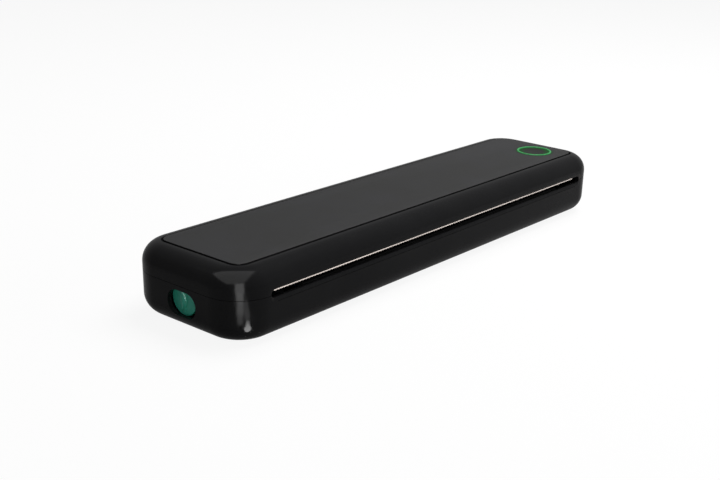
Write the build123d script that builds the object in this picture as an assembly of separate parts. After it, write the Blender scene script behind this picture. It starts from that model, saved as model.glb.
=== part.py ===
from build123d import *
import os
from math import acos, atan2, ceil, cos, degrees, hypot, inf, pi, radians, sin, sqrt, tan

# Frame: X along the long side, -Y the paper outlet, +Z up.
# Origin: middle of the footprint, on the surface the feet stand on. Millimetres.

# ---- housing -------------------------------------------------------------
LENGTH = 310.0
WIDTH = 76.8
BASE_H = 22.0          # lower shell, up to the seam
COVER_H = 13.5         # upper shell, from the seam up
PLAN_R = 19.7          # vertical corners, seen from above
TOP_R = 10.0           # rounding between the top and the sides
BOTTOM_R = 10.0
WALL = 2.4
SEAM_GAP = 0.2
FOOT_PROUD = 0.5
RIB_Y = (-22.0, -13.0, -4.0)   # stiffening ribs under the lid
RIB_REACH = 96.0
RIB_T = 1.2
RIB_H = 1.6
LIP_T = 1.2
LIP_H = 1.4
FIT = 0.3              # gap between pieces that pass each other
RUN = 0.05             # radial gap of a shaft in its bore

# ---- top plate and power button -------------------------------------------
PLATE_MARGIN = 11.1
PLATE_T = 1.2
PLATE_R = 6.0
PLATE_GROOVE = 0.9
BUTTON_END = 27.0      # ring centre from the end of the housing
BUTTON_FRONT = 29.8    # ring centre from the front of the housing
RING_R = 10.1          # middle of the light ring
RING_W = 1.1
BUTTON_T = 0.7
BUTTON_STEM_R = 7.2
BUTTON_TRAVEL = 0.4
SWITCH_H = 1.5
SWITCH_W = 6.0
SWITCH_PIN_R = 1.6
SWITCH_PIN_H = 0.5
BOARD_T = 1.2
BOARD_EDGE = 4.5       # button board past the ring

# ---- paper outlet ----------------------------------------------------------
SLOT_END = 20.5        # end of the outlet from the end of the housing
SLOT_HEIGHT = 3.95
SLOT_DROP = 1.55       # lower edge of the outlet below the seam
SLOT_BEVEL = 2.0       # lead-out slope under the outlet
SLOT_BEVEL_DEPTH = 0.35
SLOT_EDGE = 0.2        # slope over the outlet and at its ends
TEAR_INSET = 3.9       # end of the tear bar inside the end of the outlet
TEAR_T = 0.8
TEAR_GAP = 2.1         # paper gap between the outlet's lower edge and the tear bar
TEAR_H = 3.0
TEAR_PITCH = 2.0
TEAR_DEPTH = 0.25
TEAR_FOOT = 4.0
TEAR_FOOT_W = 6.0
TEAR_FOOT_IN = 10.6    # outer feet from the ends of the tear bar
INLET_HEIGHT = 2.6

# ---- paper path, platen, head ----------------------------------------------
PAPER_W = 216.0
PATH_DROP = 0.2        # underside of the platen below the seam
NIP = 0.3
PLATEN_R = 4.8
PLATEN_CORE_R = 3.0
JOURNAL_R = 2.0
BUSH_R = 3.5
HEAD_W = 8.0
CERAMIC_T = 1.0
SINK_H = 8.0
FIN_T = 1.2
FIN_COUNT = 3
HEAD_TRAVEL = 0.6
TAB_H = 2.0            # guide tabs at the head's ends
TAB_W = 4.0
SPRING_X = (-72.0, 0.0, 72.0)
SPRING_REACH = 16.0
SPRING_T = 0.35
SPRING_W = 5.0
DECK_T = 1.5
DECK_DROP = 1.0        # deck surface below the seam
DECK_SKIRT = 6.0       # rear edge turned down
DECK_RIBS = 12
DECK_RIB_H = 0.4
DECK_RIB_END = 8.0     # first rib from the side plate

# ---- ribbon ------------------------------------------------------------------
ROLL_R = 6.2
CORE_R = 4.6
HUB_R = 3.6
HUB_SHAFT_R = 1.5
SPOOL_DROP = 7.3       # spool axes below the seam
SPOOL_REAR_GAP = 2.6
SUPPLY_TO_PLATEN = 12.2
PLATEN_TO_TAKEUP = 14.6
RIBBON_INSET = 1.0     # ribbon inside the paper's edge at each side
RIBBON_T = 0.1
RIBBON_END = 1.5       # core standing out of the roll at each end
HUB_FLANGE = 1.0
HUB_PLUG = 8.0

# ---- hand wheel of the take-up spool -----------------------------------------
KNOB_R = 7.9
KNOB_T = 3.0
KNOB_RECESS = 3.0      # face of the wheel behind the end of the housing
KNOB_SHAFT_R = 2.0
SLEEVE_T = 1.0         # wheel's sleeve round the shaft
KNOB_GAP = 4.0         # sleeve from the side plate
GRIP_L = 10.0
GRIP_W = 3.0
GRIP_H = 1.4
WINDOW_L = 19.2
WINDOW_H = 12.5
WINDOW_DY = -1.45
WINDOW_DZ = -1.15

# ---- frame and gear train ----------------------------------------------------
PLATE_GAP = 2.5        # side plate from the hub's flange
SHEET_T = 1.2
FLANGE_W = 8.0
MODULE = 0.5
PRESSURE = 20.0
TOOTH_THIN = 0.05      # taken off each tooth for backlash
PLATEN_TEETH = 18
TAKEUP_TEETH = 18
SMALL_TEETH = 12
LARGE_TEETH = 30
PINION_TEETH = 10
REDUCTION_GAP = 1.8    # tips of the large gear above the floor
MOTOR_GAP = 1.3        # motor above the floor
GEAR_T = 2.5
LARGE_T = 2.0
GEAR_GAP = 3.3         # first gear from the side plate
LAYER_GAP = 0.4
STUD_R = 1.0
MOTOR_R = 7.2
MOTOR_L = 16.0
MOTOR_SHAFT_R = 0.8

# ---- hinge ---------------------------------------------------------------------
HINGE_IN = 2.7         # axis from the rear face
BEAD_R = 3.3
RELIEF = 0.3
LUG_R = 3.0
LUG_W = 8.0
LUG_X = (-126.0, -42.0, 42.0, 126.0)
PIN_R = 1.0
PIN_L = 20.0

# ---- electronics, feet, fasteners ---------------------------------------------
CELL_L = 92.0
CELL_H = 7.0
CELL_COUNT = 2
CELL_X = -50.0
CELL_GAP = 0.2
TRAY_T = 1.5
MAIN_BOARD_L = 70.0
BOARD_X = 45.0
BOARD_HOLE_IN = 4.0    # screw from the end of the main board
BAY_MARGIN = 4.3       # cells and board from the sides of their bay
CHIPS = ((-7.0, 0.0, 10.0, 10.0, 1.2), (9.5, -2.5, 7.0, 7.0, 1.0), (-22.0, 0.0, 6.0, 14.0, 4.5))
COIL = (20.0, 3.0, 3.5, 3.0)
DECK_SCREW_X = (-104.0, 88.0)
DECK_SCREW_IN = 4.7    # screw from the long edges of the deck
USB_W = 8.9
USB_H = 3.2
USB_L = 7.3
USB_Y = -2.0
USB_RISE = 8.1         # middle of the inlet above the floor
USB_BOARD_L = 14.0
USB_BOARD_W = 16.0
USB_REST = 5.0
MAGNET_R = 2.5
MAGNET_T = 2.0
MAGNET_X = 15.0        # magnets from the end of the housing
MAGNET_Y = 16.4        # magnets from the front of the housing
FOOT_L = 14.0
FOOT_W = 6.0
FOOT_RECESS = 0.9
FOOT_X = 24.0          # feet from the end of the housing
FOOT_Y = 17.0          # feet from the long sides
SCREW_R = 1.0
SCREW_HEAD_R = 2.0
SCREW_HEAD_T = 0.9
SCREW_L = 5.0
SHEET_SEAT = 2.0       # side plates stand this far off the floor
BOARD_SEAT = 3.5       # main board stands this far off the floor

# ---- places worked out from the sizes ------------------------------------------
SEAM_Z = FOOT_PROUD + BASE_H
HEIGHT = SEAM_Z + COVER_H
HALF_L = LENGTH / 2
HALF_W = WIDTH / 2
IN_L = HALF_L - WALL
IN_W = HALF_W - WALL
FLOOR = FOOT_PROUD + WALL
CEILING = HEIGHT - PLATE_T - (WALL - PLATE_T)
SLOT_LENGTH = LENGTH - 2 * SLOT_END
TEAR_LENGTH = SLOT_LENGTH - 2 * TEAR_INSET
TEAR_REACH = TEAR_LENGTH / 2 - TEAR_FOOT_IN
TEAR_FEET_X = (-TEAR_REACH, -TEAR_REACH / 3, TEAR_REACH / 3, TEAR_REACH)
RIBBON_W = PAPER_W - 2 * RIBBON_INSET
CORE_END = RIBBON_W / 2 + RIBBON_END
PLATE_X = CORE_END + HUB_FLANGE + PLATE_GAP
USB_Z = FLOOR + USB_RISE
SPOOL_Z = SEAM_Z - SPOOL_DROP
PATH_Z = SEAM_Z - PATH_DROP
DECK_Z = SEAM_Z - DECK_DROP
HEAD_Z = PATH_Z - NIP
SUPPLY = (IN_W - ROLL_R - SPOOL_REAR_GAP, SPOOL_Z)
PLATEN = (SUPPLY[0] - SUPPLY_TO_PLATEN, PATH_Z + PLATEN_R)
TAKEUP = (PLATEN[0] - PLATEN_TO_TAKEUP, SPOOL_Z)
HINGE = (HALF_W - HINGE_IN, SEAM_Z)
BUTTON = (HALF_L - BUTTON_END, -HALF_W + BUTTON_FRONT)
SLOT_Z = SEAM_Z - SLOT_DROP + SLOT_HEIGHT / 2
GEAR_X = PLATE_X + SHEET_T + GEAR_GAP
LARGE_X = GEAR_X + GEAR_T + LAYER_GAP


def block(x0, x1, y0, y1, z0, z1):
    """Box between two corners."""
    size = Box(x1 - x0, y1 - y0, z1 - z0)
    return Pos((x0 + x1) / 2, (y0 + y1) / 2, (z0 + z1) / 2) * size


def rod(x0, x1, centre, radius):
    """Cylinder along X about a (y, z) centre."""
    turned = Rot(0, 90, 0) * Cylinder(radius, x1 - x0)
    return Pos((x0 + x1) / 2, centre[0], centre[1]) * turned


def post(x, y, z0, z1, radius):
    """Upright cylinder."""
    return Pos(x, y, (z0 + z1) / 2) * Cylinder(radius, z1 - z0)


def profile(points, x0, x1):
    """Closed (y, z) outline drawn out along X."""
    outline = [Vector(x0, y, z) for y, z in points]
    return extrude(make_face(Polyline(*outline, close=True)), amount=x1 - x0, dir=(1, 0, 0))


def on_circle(centre, radius, angle):
    """Point at an angle in degrees round a (y, z) centre."""
    turn = radians(angle)
    return (centre[0] + radius * cos(turn), centre[1] + radius * sin(turn))


def save(name, shape):
    """Write one sub-part."""
    shape.label = name
    export_step(shape, f"parts/{name}.step")


# ---- gears -----------------------------------------------------------------------
def pitch_r(teeth):
    return MODULE * teeth / 2


def mid_gear(first, first_r, second, second_r):
    """Centre of a gear that meshes with two others, on the lower side of their line."""
    span = hypot(second[0] - first[0], second[1] - first[1])
    along = (first_r ** 2 - second_r ** 2 + span ** 2) / (2 * span)
    across = sqrt(first_r ** 2 - along ** 2)
    uy = (second[0] - first[0]) / span
    uz = (second[1] - first[1]) / span
    return (first[0] + along * uy + across * uz, first[1] + along * uz - across * uy)


def in_front(centre, span, z):
    """Centre at a height and at a span in front of another."""
    return (centre[0] - sqrt(span ** 2 - (z - centre[1]) ** 2), z)


def meshed(phase, teeth, centre, other_teeth, other_centre):
    """Phase that puts the other gear's gap on this gear's tooth at the line of centres."""
    line = atan2(other_centre[1] - centre[1], other_centre[0] - centre[0])
    share = (line - phase) * teeth / (2 * pi)
    return line + pi - (0.5 - share) * 2 * pi / other_teeth


def flank(teeth, radius):
    """Half angle of an involute tooth at a radius."""
    base = pitch_r(teeth) * cos(radians(PRESSURE))
    spread = radians(PRESSURE)
    start = tan(spread) - spread
    turn = acos(base / max(radius, base))
    thick = (pi * MODULE / 2 - TOOTH_THIN) / (2 * pitch_r(teeth))
    return thick + start - (tan(turn) - turn)


def gear(teeth, centre, phase, x0, x1, bore):
    """Spur gear with involute teeth, its axis along X."""
    pitch = pitch_r(teeth)
    tip = pitch + MODULE
    root = pitch - 1.25 * MODULE
    low = max(root + 0.02, pitch * cos(radians(PRESSURE)))
    levels = [root, low, (low + tip) / 2, tip]
    points = []
    for tooth in range(teeth):
        middle = degrees(phase) + tooth * 360 / teeth
        left = [on_circle(centre, r, middle - degrees(flank(teeth, r))) for r in levels]
        right = [on_circle(centre, r, middle + degrees(flank(teeth, r))) for r in levels]
        points += left + right[::-1]
    return profile(points, x0, x1) - rod(x0, x1, centre, bore)


IDLER_TEETH = ceil(hypot(PLATEN[0] - TAKEUP[0], PLATEN[1] - TAKEUP[1]) / MODULE
                   - (PLATEN_TEETH + TAKEUP_TEETH) / 2) + 2
IDLER = mid_gear(TAKEUP, pitch_r(TAKEUP_TEETH + IDLER_TEETH),
                 PLATEN, pitch_r(PLATEN_TEETH + IDLER_TEETH))
REDUCTION = in_front(TAKEUP, pitch_r(TAKEUP_TEETH + SMALL_TEETH),
                     FLOOR + REDUCTION_GAP + pitch_r(LARGE_TEETH) + MODULE)
MOTOR = in_front(REDUCTION, pitch_r(LARGE_TEETH + PINION_TEETH), FLOOR + MOTOR_GAP + MOTOR_R)
TAKEUP_PHASE = 0.0
IDLER_PHASE = meshed(TAKEUP_PHASE, TAKEUP_TEETH, TAKEUP, IDLER_TEETH, IDLER)
PLATEN_PHASE = meshed(IDLER_PHASE, IDLER_TEETH, IDLER, PLATEN_TEETH, PLATEN)
REDUCTION_PHASE = meshed(TAKEUP_PHASE, TAKEUP_TEETH, TAKEUP, SMALL_TEETH, REDUCTION)
PINION_PHASE = meshed(REDUCTION_PHASE, LARGE_TEETH, REDUCTION, PINION_TEETH, MOTOR)


# ---- housing ---------------------------------------------------------------------
def pebble(inset):
    """Rounded slab of the whole housing, drawn in by an inset on every side."""
    low = FOOT_PROUD + inset
    high = HEIGHT - inset
    plan = RectangleRounded(LENGTH - 2 * inset, WIDTH - 2 * inset, PLAN_R - inset)
    body = extrude(Pos(0, 0, low) * plan, amount=high - low)
    body = fillet(body.edges().group_by(Axis.Z)[-1], TOP_R - inset)
    return fillet(body.edges().group_by(Axis.Z)[0], BOTTOM_R - inset)


def below(z):
    return block(-LENGTH, LENGTH, -WIDTH, WIDTH, -HEIGHT, z)


def above(z):
    return block(-LENGTH, LENGTH, -WIDTH, WIDTH, z, 2 * HEIGHT)


def front_slot(length, height, z, y, depth, taper=0.0):
    """Round-ended slot pushed back from a plane across the front."""
    plane = Plane(origin=(0, y, z), x_dir=(1, 0, 0), z_dir=(0, 1, 0))
    return extrude(plane * SlotOverall(length, height), amount=depth, taper=taper)


def outlet():
    """Paper outlet with its lead-out slope, cut through the front wall."""
    bevel_l = SLOT_LENGTH + 2 * SLOT_EDGE
    bevel_h = SLOT_HEIGHT + SLOT_BEVEL + SLOT_EDGE
    bevel_z = SLOT_Z - (SLOT_BEVEL - SLOT_EDGE) / 2
    slope = degrees(atan2(SLOT_BEVEL, SLOT_BEVEL_DEPTH))
    bevel = front_slot(bevel_l, bevel_h, bevel_z, -HALF_W, SLOT_BEVEL_DEPTH, slope)
    return front_slot(SLOT_LENGTH, SLOT_HEIGHT, SLOT_Z, -HALF_W - 1, WALL + 1) + bevel


def window():
    """Opening in the left end over the hand wheel."""
    middle = (TAKEUP[0] + WINDOW_DY, TAKEUP[1] + WINDOW_DZ)
    plane = Plane(origin=(-HALF_L - 1, *middle), x_dir=(0, 1, 0), z_dir=(1, 0, 0))
    return extrude(plane * SlotOverall(WINDOW_L, WINDOW_H), amount=BOTTOM_R)


def usb_hole(extra, x0, x1):
    """Round-ended USB-C outline along X."""
    plane = Plane(origin=(x0, USB_Y, USB_Z), x_dir=(0, 1, 0), z_dir=(1, 0, 0))
    return extrude(plane * SlotOverall(USB_W + 2 * extra, USB_H + 2 * extra), amount=x1 - x0)


def foot_places():
    """Centres of the four feet."""
    return [(sx * (HALF_L - FOOT_X), sy * (HALF_W - FOOT_Y)) for sx in (-1, 1) for sy in (-1, 1)]


def foot_pad(x, y, z0, z1, grow):
    """Round-ended pad."""
    pad = SlotOverall(FOOT_L + 2 * grow, FOOT_W + 2 * grow)
    return extrude(Pos(x, y, z0) * pad, amount=z1 - z0)


def magnet_places():
    return [(sx * (HALF_L - MAGNET_X), -HALF_W + MAGNET_Y) for sx in (-1, 1)]


def bearing(x):
    """Bead and its bore span on both sides of one hinge lug."""
    return rod(x - PIN_L / 2, x + PIN_L / 2, HINGE, PIN_R + RUN)


def lug(x):
    """Hinge lug on the base: an eye with a web down to the rear wall."""
    x0, x1 = x - LUG_W / 2, x + LUG_W / 2
    eye = rod(x0, x1, HINGE, LUG_R)
    web = block(x0, x1, HINGE[0] - PIN_R, IN_W + WALL / 2, SPOOL_Z, HINGE[1])
    return (eye + web) - rod(x0 - 1, x1 + 1, HINGE, PIN_R + RUN)


def plate_feet(side):
    """Screw places in the flange of one side plate."""
    x = side * (PLATE_X + SHEET_T + SCREW_HEAD_R + 2)
    return [(x, MOTOR[0]), (x, SUPPLY[0])]


DECK_BACK = TAKEUP[0] - ROLL_R - 5 * FIT
DECK_SCREWS = [(x, y) for x in DECK_SCREW_X
               for y in (-IN_W + DECK_SCREW_IN, DECK_BACK - DECK_SCREW_IN)]
BAY_Y = (-IN_W + DECK_BACK) / 2
CELL_W = DECK_BACK + IN_W - 2 * BAY_MARGIN
BOARD_Z = FLOOR + BOARD_SEAT
POST_WALL = 1.8


def base_shell():
    """Lower housing: tub with window, outlet edge, hinge lugs, posts and ribs."""
    top = SEAM_Z - SEAM_GAP / 2
    inner = pebble(WALL)
    shell = (pebble(0) - inner) & below(top)
    lip = (pebble(WALL + FIT) - pebble(WALL + FIT + LIP_T)) & block(
        -LENGTH, LENGTH, -LIP_REACH, LIP_REACH, top - LIP_H, top + LIP_H)
    lip_root = (pebble(WALL - 0.1) - pebble(WALL + FIT + LIP_T)) & block(
        -LENGTH, LENGTH, -LIP_REACH, LIP_REACH, top - 2 * LIP_H, top - LIP_H / 2)
    posts = [post(x, y, FLOOR - 1, top - MAGNET_T, MAGNET_R + 1.2) for x, y in magnet_places()]
    posts += [post(x, y, FLOOR - 1, DECK_Z - DECK_T, SCREW_R + POST_WALL) for x, y in DECK_SCREWS]
    posts += [post(x, y, FLOOR - 1, FLOOR + SHEET_SEAT, SCREW_R + POST_WALL)
              for side in (-1, 1) for x, y in plate_feet(side)]
    posts += [post(x, y, FLOOR - 1, BOARD_Z, SCREW_R + POST_WALL) for x, y in board_posts()]
    posts += usb_rest()
    grown = shell + (lip + lip_root) + [p & pebble(WALL / 2) for p in posts]
    grown = grown - rod(-RELIEF_X, RELIEF_X, HINGE, BEAD_R + RELIEF)
    grown = grown + [lug(x) & pebble(0) for x in LUG_X]
    cuts = [outlet(), window(), usb_hole(0.25, IN_L - 1, HALF_L + 1)]
    cuts.append(rod(-IN_L, -IN_L + 2 * KNOB_T, TAKEUP, KNOB_R + FIT))
    cuts += [post(x, y, FLOOR, BOARD_Z + 1, SCREW_R) for x, y in board_posts()]
    cuts += [foot_pad(x, y, 0, FOOT_PROUD + FOOT_RECESS, FIT / 3) for x, y in foot_places()]
    cuts += [post(x, y, FLOOR, DECK_Z, SCREW_R) for x, y in DECK_SCREWS]
    cuts += [post(x, y, FLOOR, FLOOR + SHEET_SEAT + 1, SCREW_R)
             for side in (-1, 1) for x, y in plate_feet(side)]
    return grown - cuts


LIP_REACH = HALF_W - PLAN_R
RELIEF_X = HALF_L - PLAN_R / 2 + 0.7


def cover_shell():
    """Upper housing: hinged lid with the plate recess, bead, platen ears and ribs."""
    bottom = SEAM_Z + SEAM_GAP / 2
    shell = (pebble(0) - pebble(WALL)) & above(bottom)
    bead = rod(-RELIEF_X + FIT, RELIEF_X - FIT, HINGE, BEAD_R) & pebble(0)
    bead = bead & block(-LENGTH, LENGTH, -WIDTH, HALF_W, 0, HEIGHT)
    ears = [ear(side) for side in (-1, 1)]
    bosses = [post(x, y, bottom + SEAM_GAP / 2 + FIT / 2 + MAGNET_T, CEILING + 0.5, MAGNET_R + 1.2)
              for x, y in magnet_places()]
    bosses += [post(x, y, board_top(), CEILING + 0.5, SCREW_R + 1.5) for x, y in board_screws()]
    ribs = [block(-RIB_REACH, RIB_REACH, y, y + RIB_T, CEILING - RIB_H, CEILING + 0.5)
            for y in RIB_Y]
    inside = [piece & pebble(WALL / 2) for piece in ears + bosses + ribs + tear_seat()]
    grown = shell + bead + inside
    cuts = [rod(x - LUG_W / 2 - FIT, x + LUG_W / 2 + FIT, HINGE, BEAD_R + 0.05) for x in LUG_X]
    cuts += [bearing(x) for x in LUG_X]
    cuts += [outlet(), plate_recess(), inlet(), lip_room()]
    cuts += [Pos(*BUTTON, CEILING) * Cylinder(BUTTON_STEM_R + FIT, 4 * WALL)]
    cuts += [rod(side * EAR_X - 2 * EAR_T, side * EAR_X + 2 * EAR_T, PLATEN, BUSH_R)
             for side in (-1, 1)]
    cuts += [post(x, y, board_top() - 1, CEILING, SCREW_R) for x, y in board_screws()]
    return grown - cuts


EAR_X = PLATE_X + SHEET_T + 0.8
EAR_T = 1.6
EAR_W = BUSH_R + 2.5


def ear(side):
    """Web under the lid that carries one platen bush."""
    x0 = min(side * EAR_X, side * (EAR_X + EAR_T))
    web = block(x0, x0 + EAR_T, PLATEN[0] - EAR_W, PLATEN[0] + EAR_W, PLATEN[1], CEILING + 0.5)
    return web + rod(x0, x0 + EAR_T, PLATEN, BUSH_R + 1.2)


def tear_seat():
    """Pads behind the tear bar's feet, under the lid."""
    y0 = -IN_W + TEAR_T
    z0 = TEAR_Z + TEAR_H
    half = TEAR_FOOT_W / 2
    return [block(x - half, x + half, y0, y0 + TEAR_FOOT, z0, CEILING + 0.5) for x in TEAR_FEET_X]


TEAR_Z = SEAM_Z - SLOT_DROP + TEAR_GAP


def plate_recess():
    """Recess in the top for the plate."""
    grow = PLATE_GROOVE
    plan = RectangleRounded(LENGTH - 2 * (PLATE_MARGIN - grow), WIDTH - 2 * (PLATE_MARGIN - grow),
                            PLATE_R + grow)
    return extrude(Pos(0, 0, HEIGHT - PLATE_T) * plan, amount=2 * PLATE_T)


def inlet():
    """Paper inlet through the rear wall, above the hinge bead."""
    z = SEAM_Z + BEAD_R + 0.9 + INLET_HEIGHT / 2
    return front_slot(PAPER_W + 4 * INLET_HEIGHT, INLET_HEIGHT, z, IN_W - 1, WALL + 2)


def lip_room():
    """Nothing of the lid reaches into the base's lip at the ends."""
    ring = pebble(WALL) - pebble(WALL + 2 * FIT + LIP_T)
    return ring & block(-LENGTH, LENGTH, -LIP_REACH - FIT, LIP_REACH + FIT,
                        SEAM_Z - 1, SEAM_Z + LIP_H + FIT)


def top_plate():
    """Flat plate let into the top, with a bevelled edge and the ring's hole."""
    plan = RectangleRounded(LENGTH - 2 * PLATE_MARGIN, WIDTH - 2 * PLATE_MARGIN, PLATE_R)
    plate = extrude(Pos(0, 0, HEIGHT - PLATE_T) * plan, amount=PLATE_T)
    plate = chamfer(plate.edges().group_by(Axis.Z)[-1], 0.2)
    return plate - Pos(*BUTTON, HEIGHT) * Cylinder(RING_R + RING_W / 2 + 0.05, 4 * PLATE_T)


def ring_light():
    """Light ring round the button, seated on the lid."""
    ring = Cylinder(RING_R + RING_W / 2, PLATE_T) - Cylinder(RING_R - RING_W / 2, 2 * PLATE_T)
    return Pos(*BUTTON, HEIGHT - PLATE_T / 2) * ring


def power_button():
    """Cap inside the light ring, with a stem through the lid."""
    cap_r = RING_R - RING_W / 2 - 0.15
    cap = post(*BUTTON, HEIGHT - BUTTON_T, HEIGHT, cap_r)
    cap = chamfer(cap.edges().group_by(Axis.Z)[-1], 0.15)
    stem = post(*BUTTON, stem_low(), HEIGHT - BUTTON_T, BUTTON_STEM_R)
    return cap + stem


def stem_low():
    return CEILING - 0.6


def board_top():
    """Upper face of the button board."""
    return stem_low() - BUTTON_TRAVEL - 0.05 - SWITCH_H


def board_screws():
    reach = RING_R + 1.0
    return [(BUTTON[0] + side * reach, BUTTON[1]) for side in (-1, 1)]


def button_board():
    """Board with the button's switch, hung from two bosses of the lid."""
    plan = SlotOverall(2 * (RING_R + BOARD_EDGE), 2 * BUTTON_STEM_R + 1)
    board = extrude(Pos(*BUTTON, board_top() - BOARD_T) * plan, amount=BOARD_T)
    return board - [post(x, y, 0, HEIGHT, SCREW_R + 0.1) for x, y in board_screws()]


def button_switch():
    """Tact switch under the button."""
    top = board_top()
    half = SWITCH_W / 2
    high = top + SWITCH_H - SWITCH_PIN_H
    case = block(BUTTON[0] - half, BUTTON[0] + half, BUTTON[1] - half, BUTTON[1] + half, top, high)
    return case + post(*BUTTON, high, high + SWITCH_PIN_H, SWITCH_PIN_R)


def tear_bar():
    """Steel tear bar: toothed strip on the lid's front wall, with a folded foot."""
    half = TEAR_LENGTH / 2
    count = int(TEAR_LENGTH / TEAR_PITCH)
    step = TEAR_LENGTH / count
    points = [(-half, TEAR_Z + TEAR_H), (-half, TEAR_Z + TEAR_DEPTH)]
    for tooth in range(count):
        left = -half + tooth * step
        points += [(left + step / 2, TEAR_Z), (left + step, TEAR_Z + TEAR_DEPTH)]
    points.append((half, TEAR_Z + TEAR_H))
    outline = Polyline(*[Vector(x, -IN_W, z) for x, z in points], close=True)
    strip = extrude(make_face(outline), amount=TEAR_T, dir=(0, 1, 0))
    wide = TEAR_FOOT_W / 2
    return strip + [block(x - wide, x + wide, -IN_W + TEAR_T, -IN_W + TEAR_T + TEAR_FOOT,
                          TEAR_Z + TEAR_H - TEAR_T, TEAR_Z + TEAR_H) for x in TEAR_FEET_X]


# ---- platen (rides in the cover) --------------------------------------------------
def platen_shaft():
    """Steel core with a journal at each end, the right one long enough for the gear."""
    left = rod(-EAR_X - EAR_T - 1, -PLATE_X + 1.5, PLATEN, JOURNAL_R)
    right = rod(PLATE_X - 1.5, GEAR_X + GEAR_T + 0.5, PLATEN, JOURNAL_R)
    return rod(-PLATE_X + 1.5, PLATE_X - 1.5, PLATEN, PLATEN_CORE_R) + left + right


def platen_rubber():
    half = PAPER_W / 2 + 1
    return rod(-half, half, PLATEN, PLATEN_R) - rod(-half, half, PLATEN, PLATEN_CORE_R)


def platen_bushes():
    """Flanged bushes: pressed in the lid's ears, reaching in over the side plates."""
    bushes = []
    for side in (-1, 1):
        ends = sorted((side * (PLATE_X - 0.2), side * (EAR_X + EAR_T)))
        flange = sorted((side * (EAR_X - 0.6), side * EAR_X))
        bush = rod(*ends, PLATEN, BUSH_R) + rod(*flange, PLATEN, BUSH_R + 0.8)
        bushes.append(bush - rod(ends[0] - 1, ends[1] + 1, PLATEN, JOURNAL_R + RUN))
    return bushes


def platen_gear():
    return gear(PLATEN_TEETH, PLATEN, PLATEN_PHASE, GEAR_X, GEAR_X + GEAR_T, JOURNAL_R)


# ---- frame -------------------------------------------------------------------------
def side_plate(side):
    """Steel side plate with the platen's seat, the spool bores and a foot flange."""
    x0 = min(side * PLATE_X, side * (PLATE_X + SHEET_T))
    x1 = x0 + SHEET_T
    low = FLOOR + SHEET_SEAT
    seat = BUSH_R + 2.6
    front = MOTOR[0] - MOTOR_R - 1
    rear = SUPPLY[0] + HUB_SHAFT_R + 3
    outline = [(front, low), (rear, low), (rear, SPOOL_Z + 3), (PLATEN[0] + seat, DECK_Z - 1),
               (PLATEN[0] + seat, PLATEN[1]), (PLATEN[0] - seat, PLATEN[1]),
               (PLATEN[0] - seat, DECK_Z - DECK_T - FIT), (front, DECK_Z - DECK_T - FIT)]
    plate = profile(outline, x0, x1)
    flange_x = sorted((side * PLATE_X, side * (PLATE_X + SHEET_T + 2 * SCREW_HEAD_R + 3)))
    for x, y in plate_feet(side):
        tab = block(*flange_x, y - FLANGE_W / 2, y + FLANGE_W / 2, low, low + SHEET_T)
        plate = plate + (tab - post(x, y, low - 1, low + 2 * SHEET_T, SCREW_R + 0.15))
    cuts = [rod(x0, x1, PLATEN, BUSH_R + 0.2), rod(x0, x1, SUPPLY, HUB_SHAFT_R + RUN)]
    shaft_r = HUB_SHAFT_R if side > 0 else KNOB_SHAFT_R
    cuts.append(rod(x0, x1, TAKEUP, shaft_r + RUN))
    cuts.append(head_guide(side, x0, x1))
    if side > 0:
        cuts.append(rod(x0, x1, MOTOR, MOTOR_SHAFT_R + 1.2))
    return plate - cuts


def head_guide(side, x0, x1):
    """Upright slot in a side plate that guides the head's tab."""
    z1 = HEAD_Z - CERAMIC_T - 2
    z0 = z1 - TAB_H - HEAD_TRAVEL - FIT
    return block(x0, x1, PLATEN[0] - TAB_W / 2 - 0.1, PLATEN[0] + TAB_W / 2 + 0.1, z0, z1)


def gear_studs():
    """Riveted studs for the idler and the reduction gear."""
    x0 = PLATE_X + SHEET_T
    idler = rod(x0, GEAR_X + GEAR_T + 0.3, IDLER, STUD_R)
    idler = idler + rod(x0, GEAR_X - FIT / 2, IDLER, STUD_R + 0.8)
    reduction = rod(x0, LARGE_X + LARGE_T + 0.3, REDUCTION, STUD_R)
    reduction = reduction + rod(x0, GEAR_X - FIT / 2, REDUCTION, STUD_R + 0.6)
    return [idler, reduction]


def deck():
    """Paper deck over the battery and board, with raised guide ribs."""
    plan = block(-PLATE_X + 0.5, PLATE_X - 0.5, -IN_W + FIT / 2, DECK_BACK, DECK_Z - DECK_T, DECK_Z)
    reach = PLATE_X - DECK_RIB_END
    pitch = 2 * reach / (DECK_RIBS - 1)
    xs = [-reach + i * pitch for i in range(DECK_RIBS)]
    half = RIB_T / 2
    ribs = [block(x - half, x + half, -IN_W + 2 * DECK_T, DECK_BACK, DECK_Z - DECK_T / 2,
                  DECK_Z + DECK_RIB_H) for x in xs]
    fall = block(-PLATE_X + 0.5, PLATE_X - 0.5, DECK_BACK - DECK_T, DECK_BACK,
                 DECK_Z - DECK_SKIRT, DECK_Z)
    sinks = [post(x, y, DECK_Z - SCREW_HEAD_T, DECK_Z + 1, SCREW_HEAD_R + 0.2)
             for x, y in DECK_SCREWS]
    holes = [post(x, y, 0, DECK_Z + 1, SCREW_R + 0.15) for x, y in DECK_SCREWS]
    return plan + ribs + fall - sinks - holes


# ---- head ----------------------------------------------------------------------------
def head_ceramic():
    """Ceramic strip with the raised glaze under the platen."""
    half = PAPER_W / 2 + 1
    y0, y1 = PLATEN[0] - HEAD_W / 2, PLATEN[0] + HEAD_W / 2
    z0, z1 = HEAD_Z - CERAMIC_T, HEAD_Z
    points = [(y0, z0), (y1, z0), (y1, z1 - 0.15), (PLATEN[0] + 0.8, z1 - 0.15), (PLATEN[0] + 0.3, z1),
              (PLATEN[0] - 0.3, z1), (PLATEN[0] - 0.8, z1 - 0.15), (y0, z1 - 0.15)]
    return profile(points, -half, half)


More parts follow.
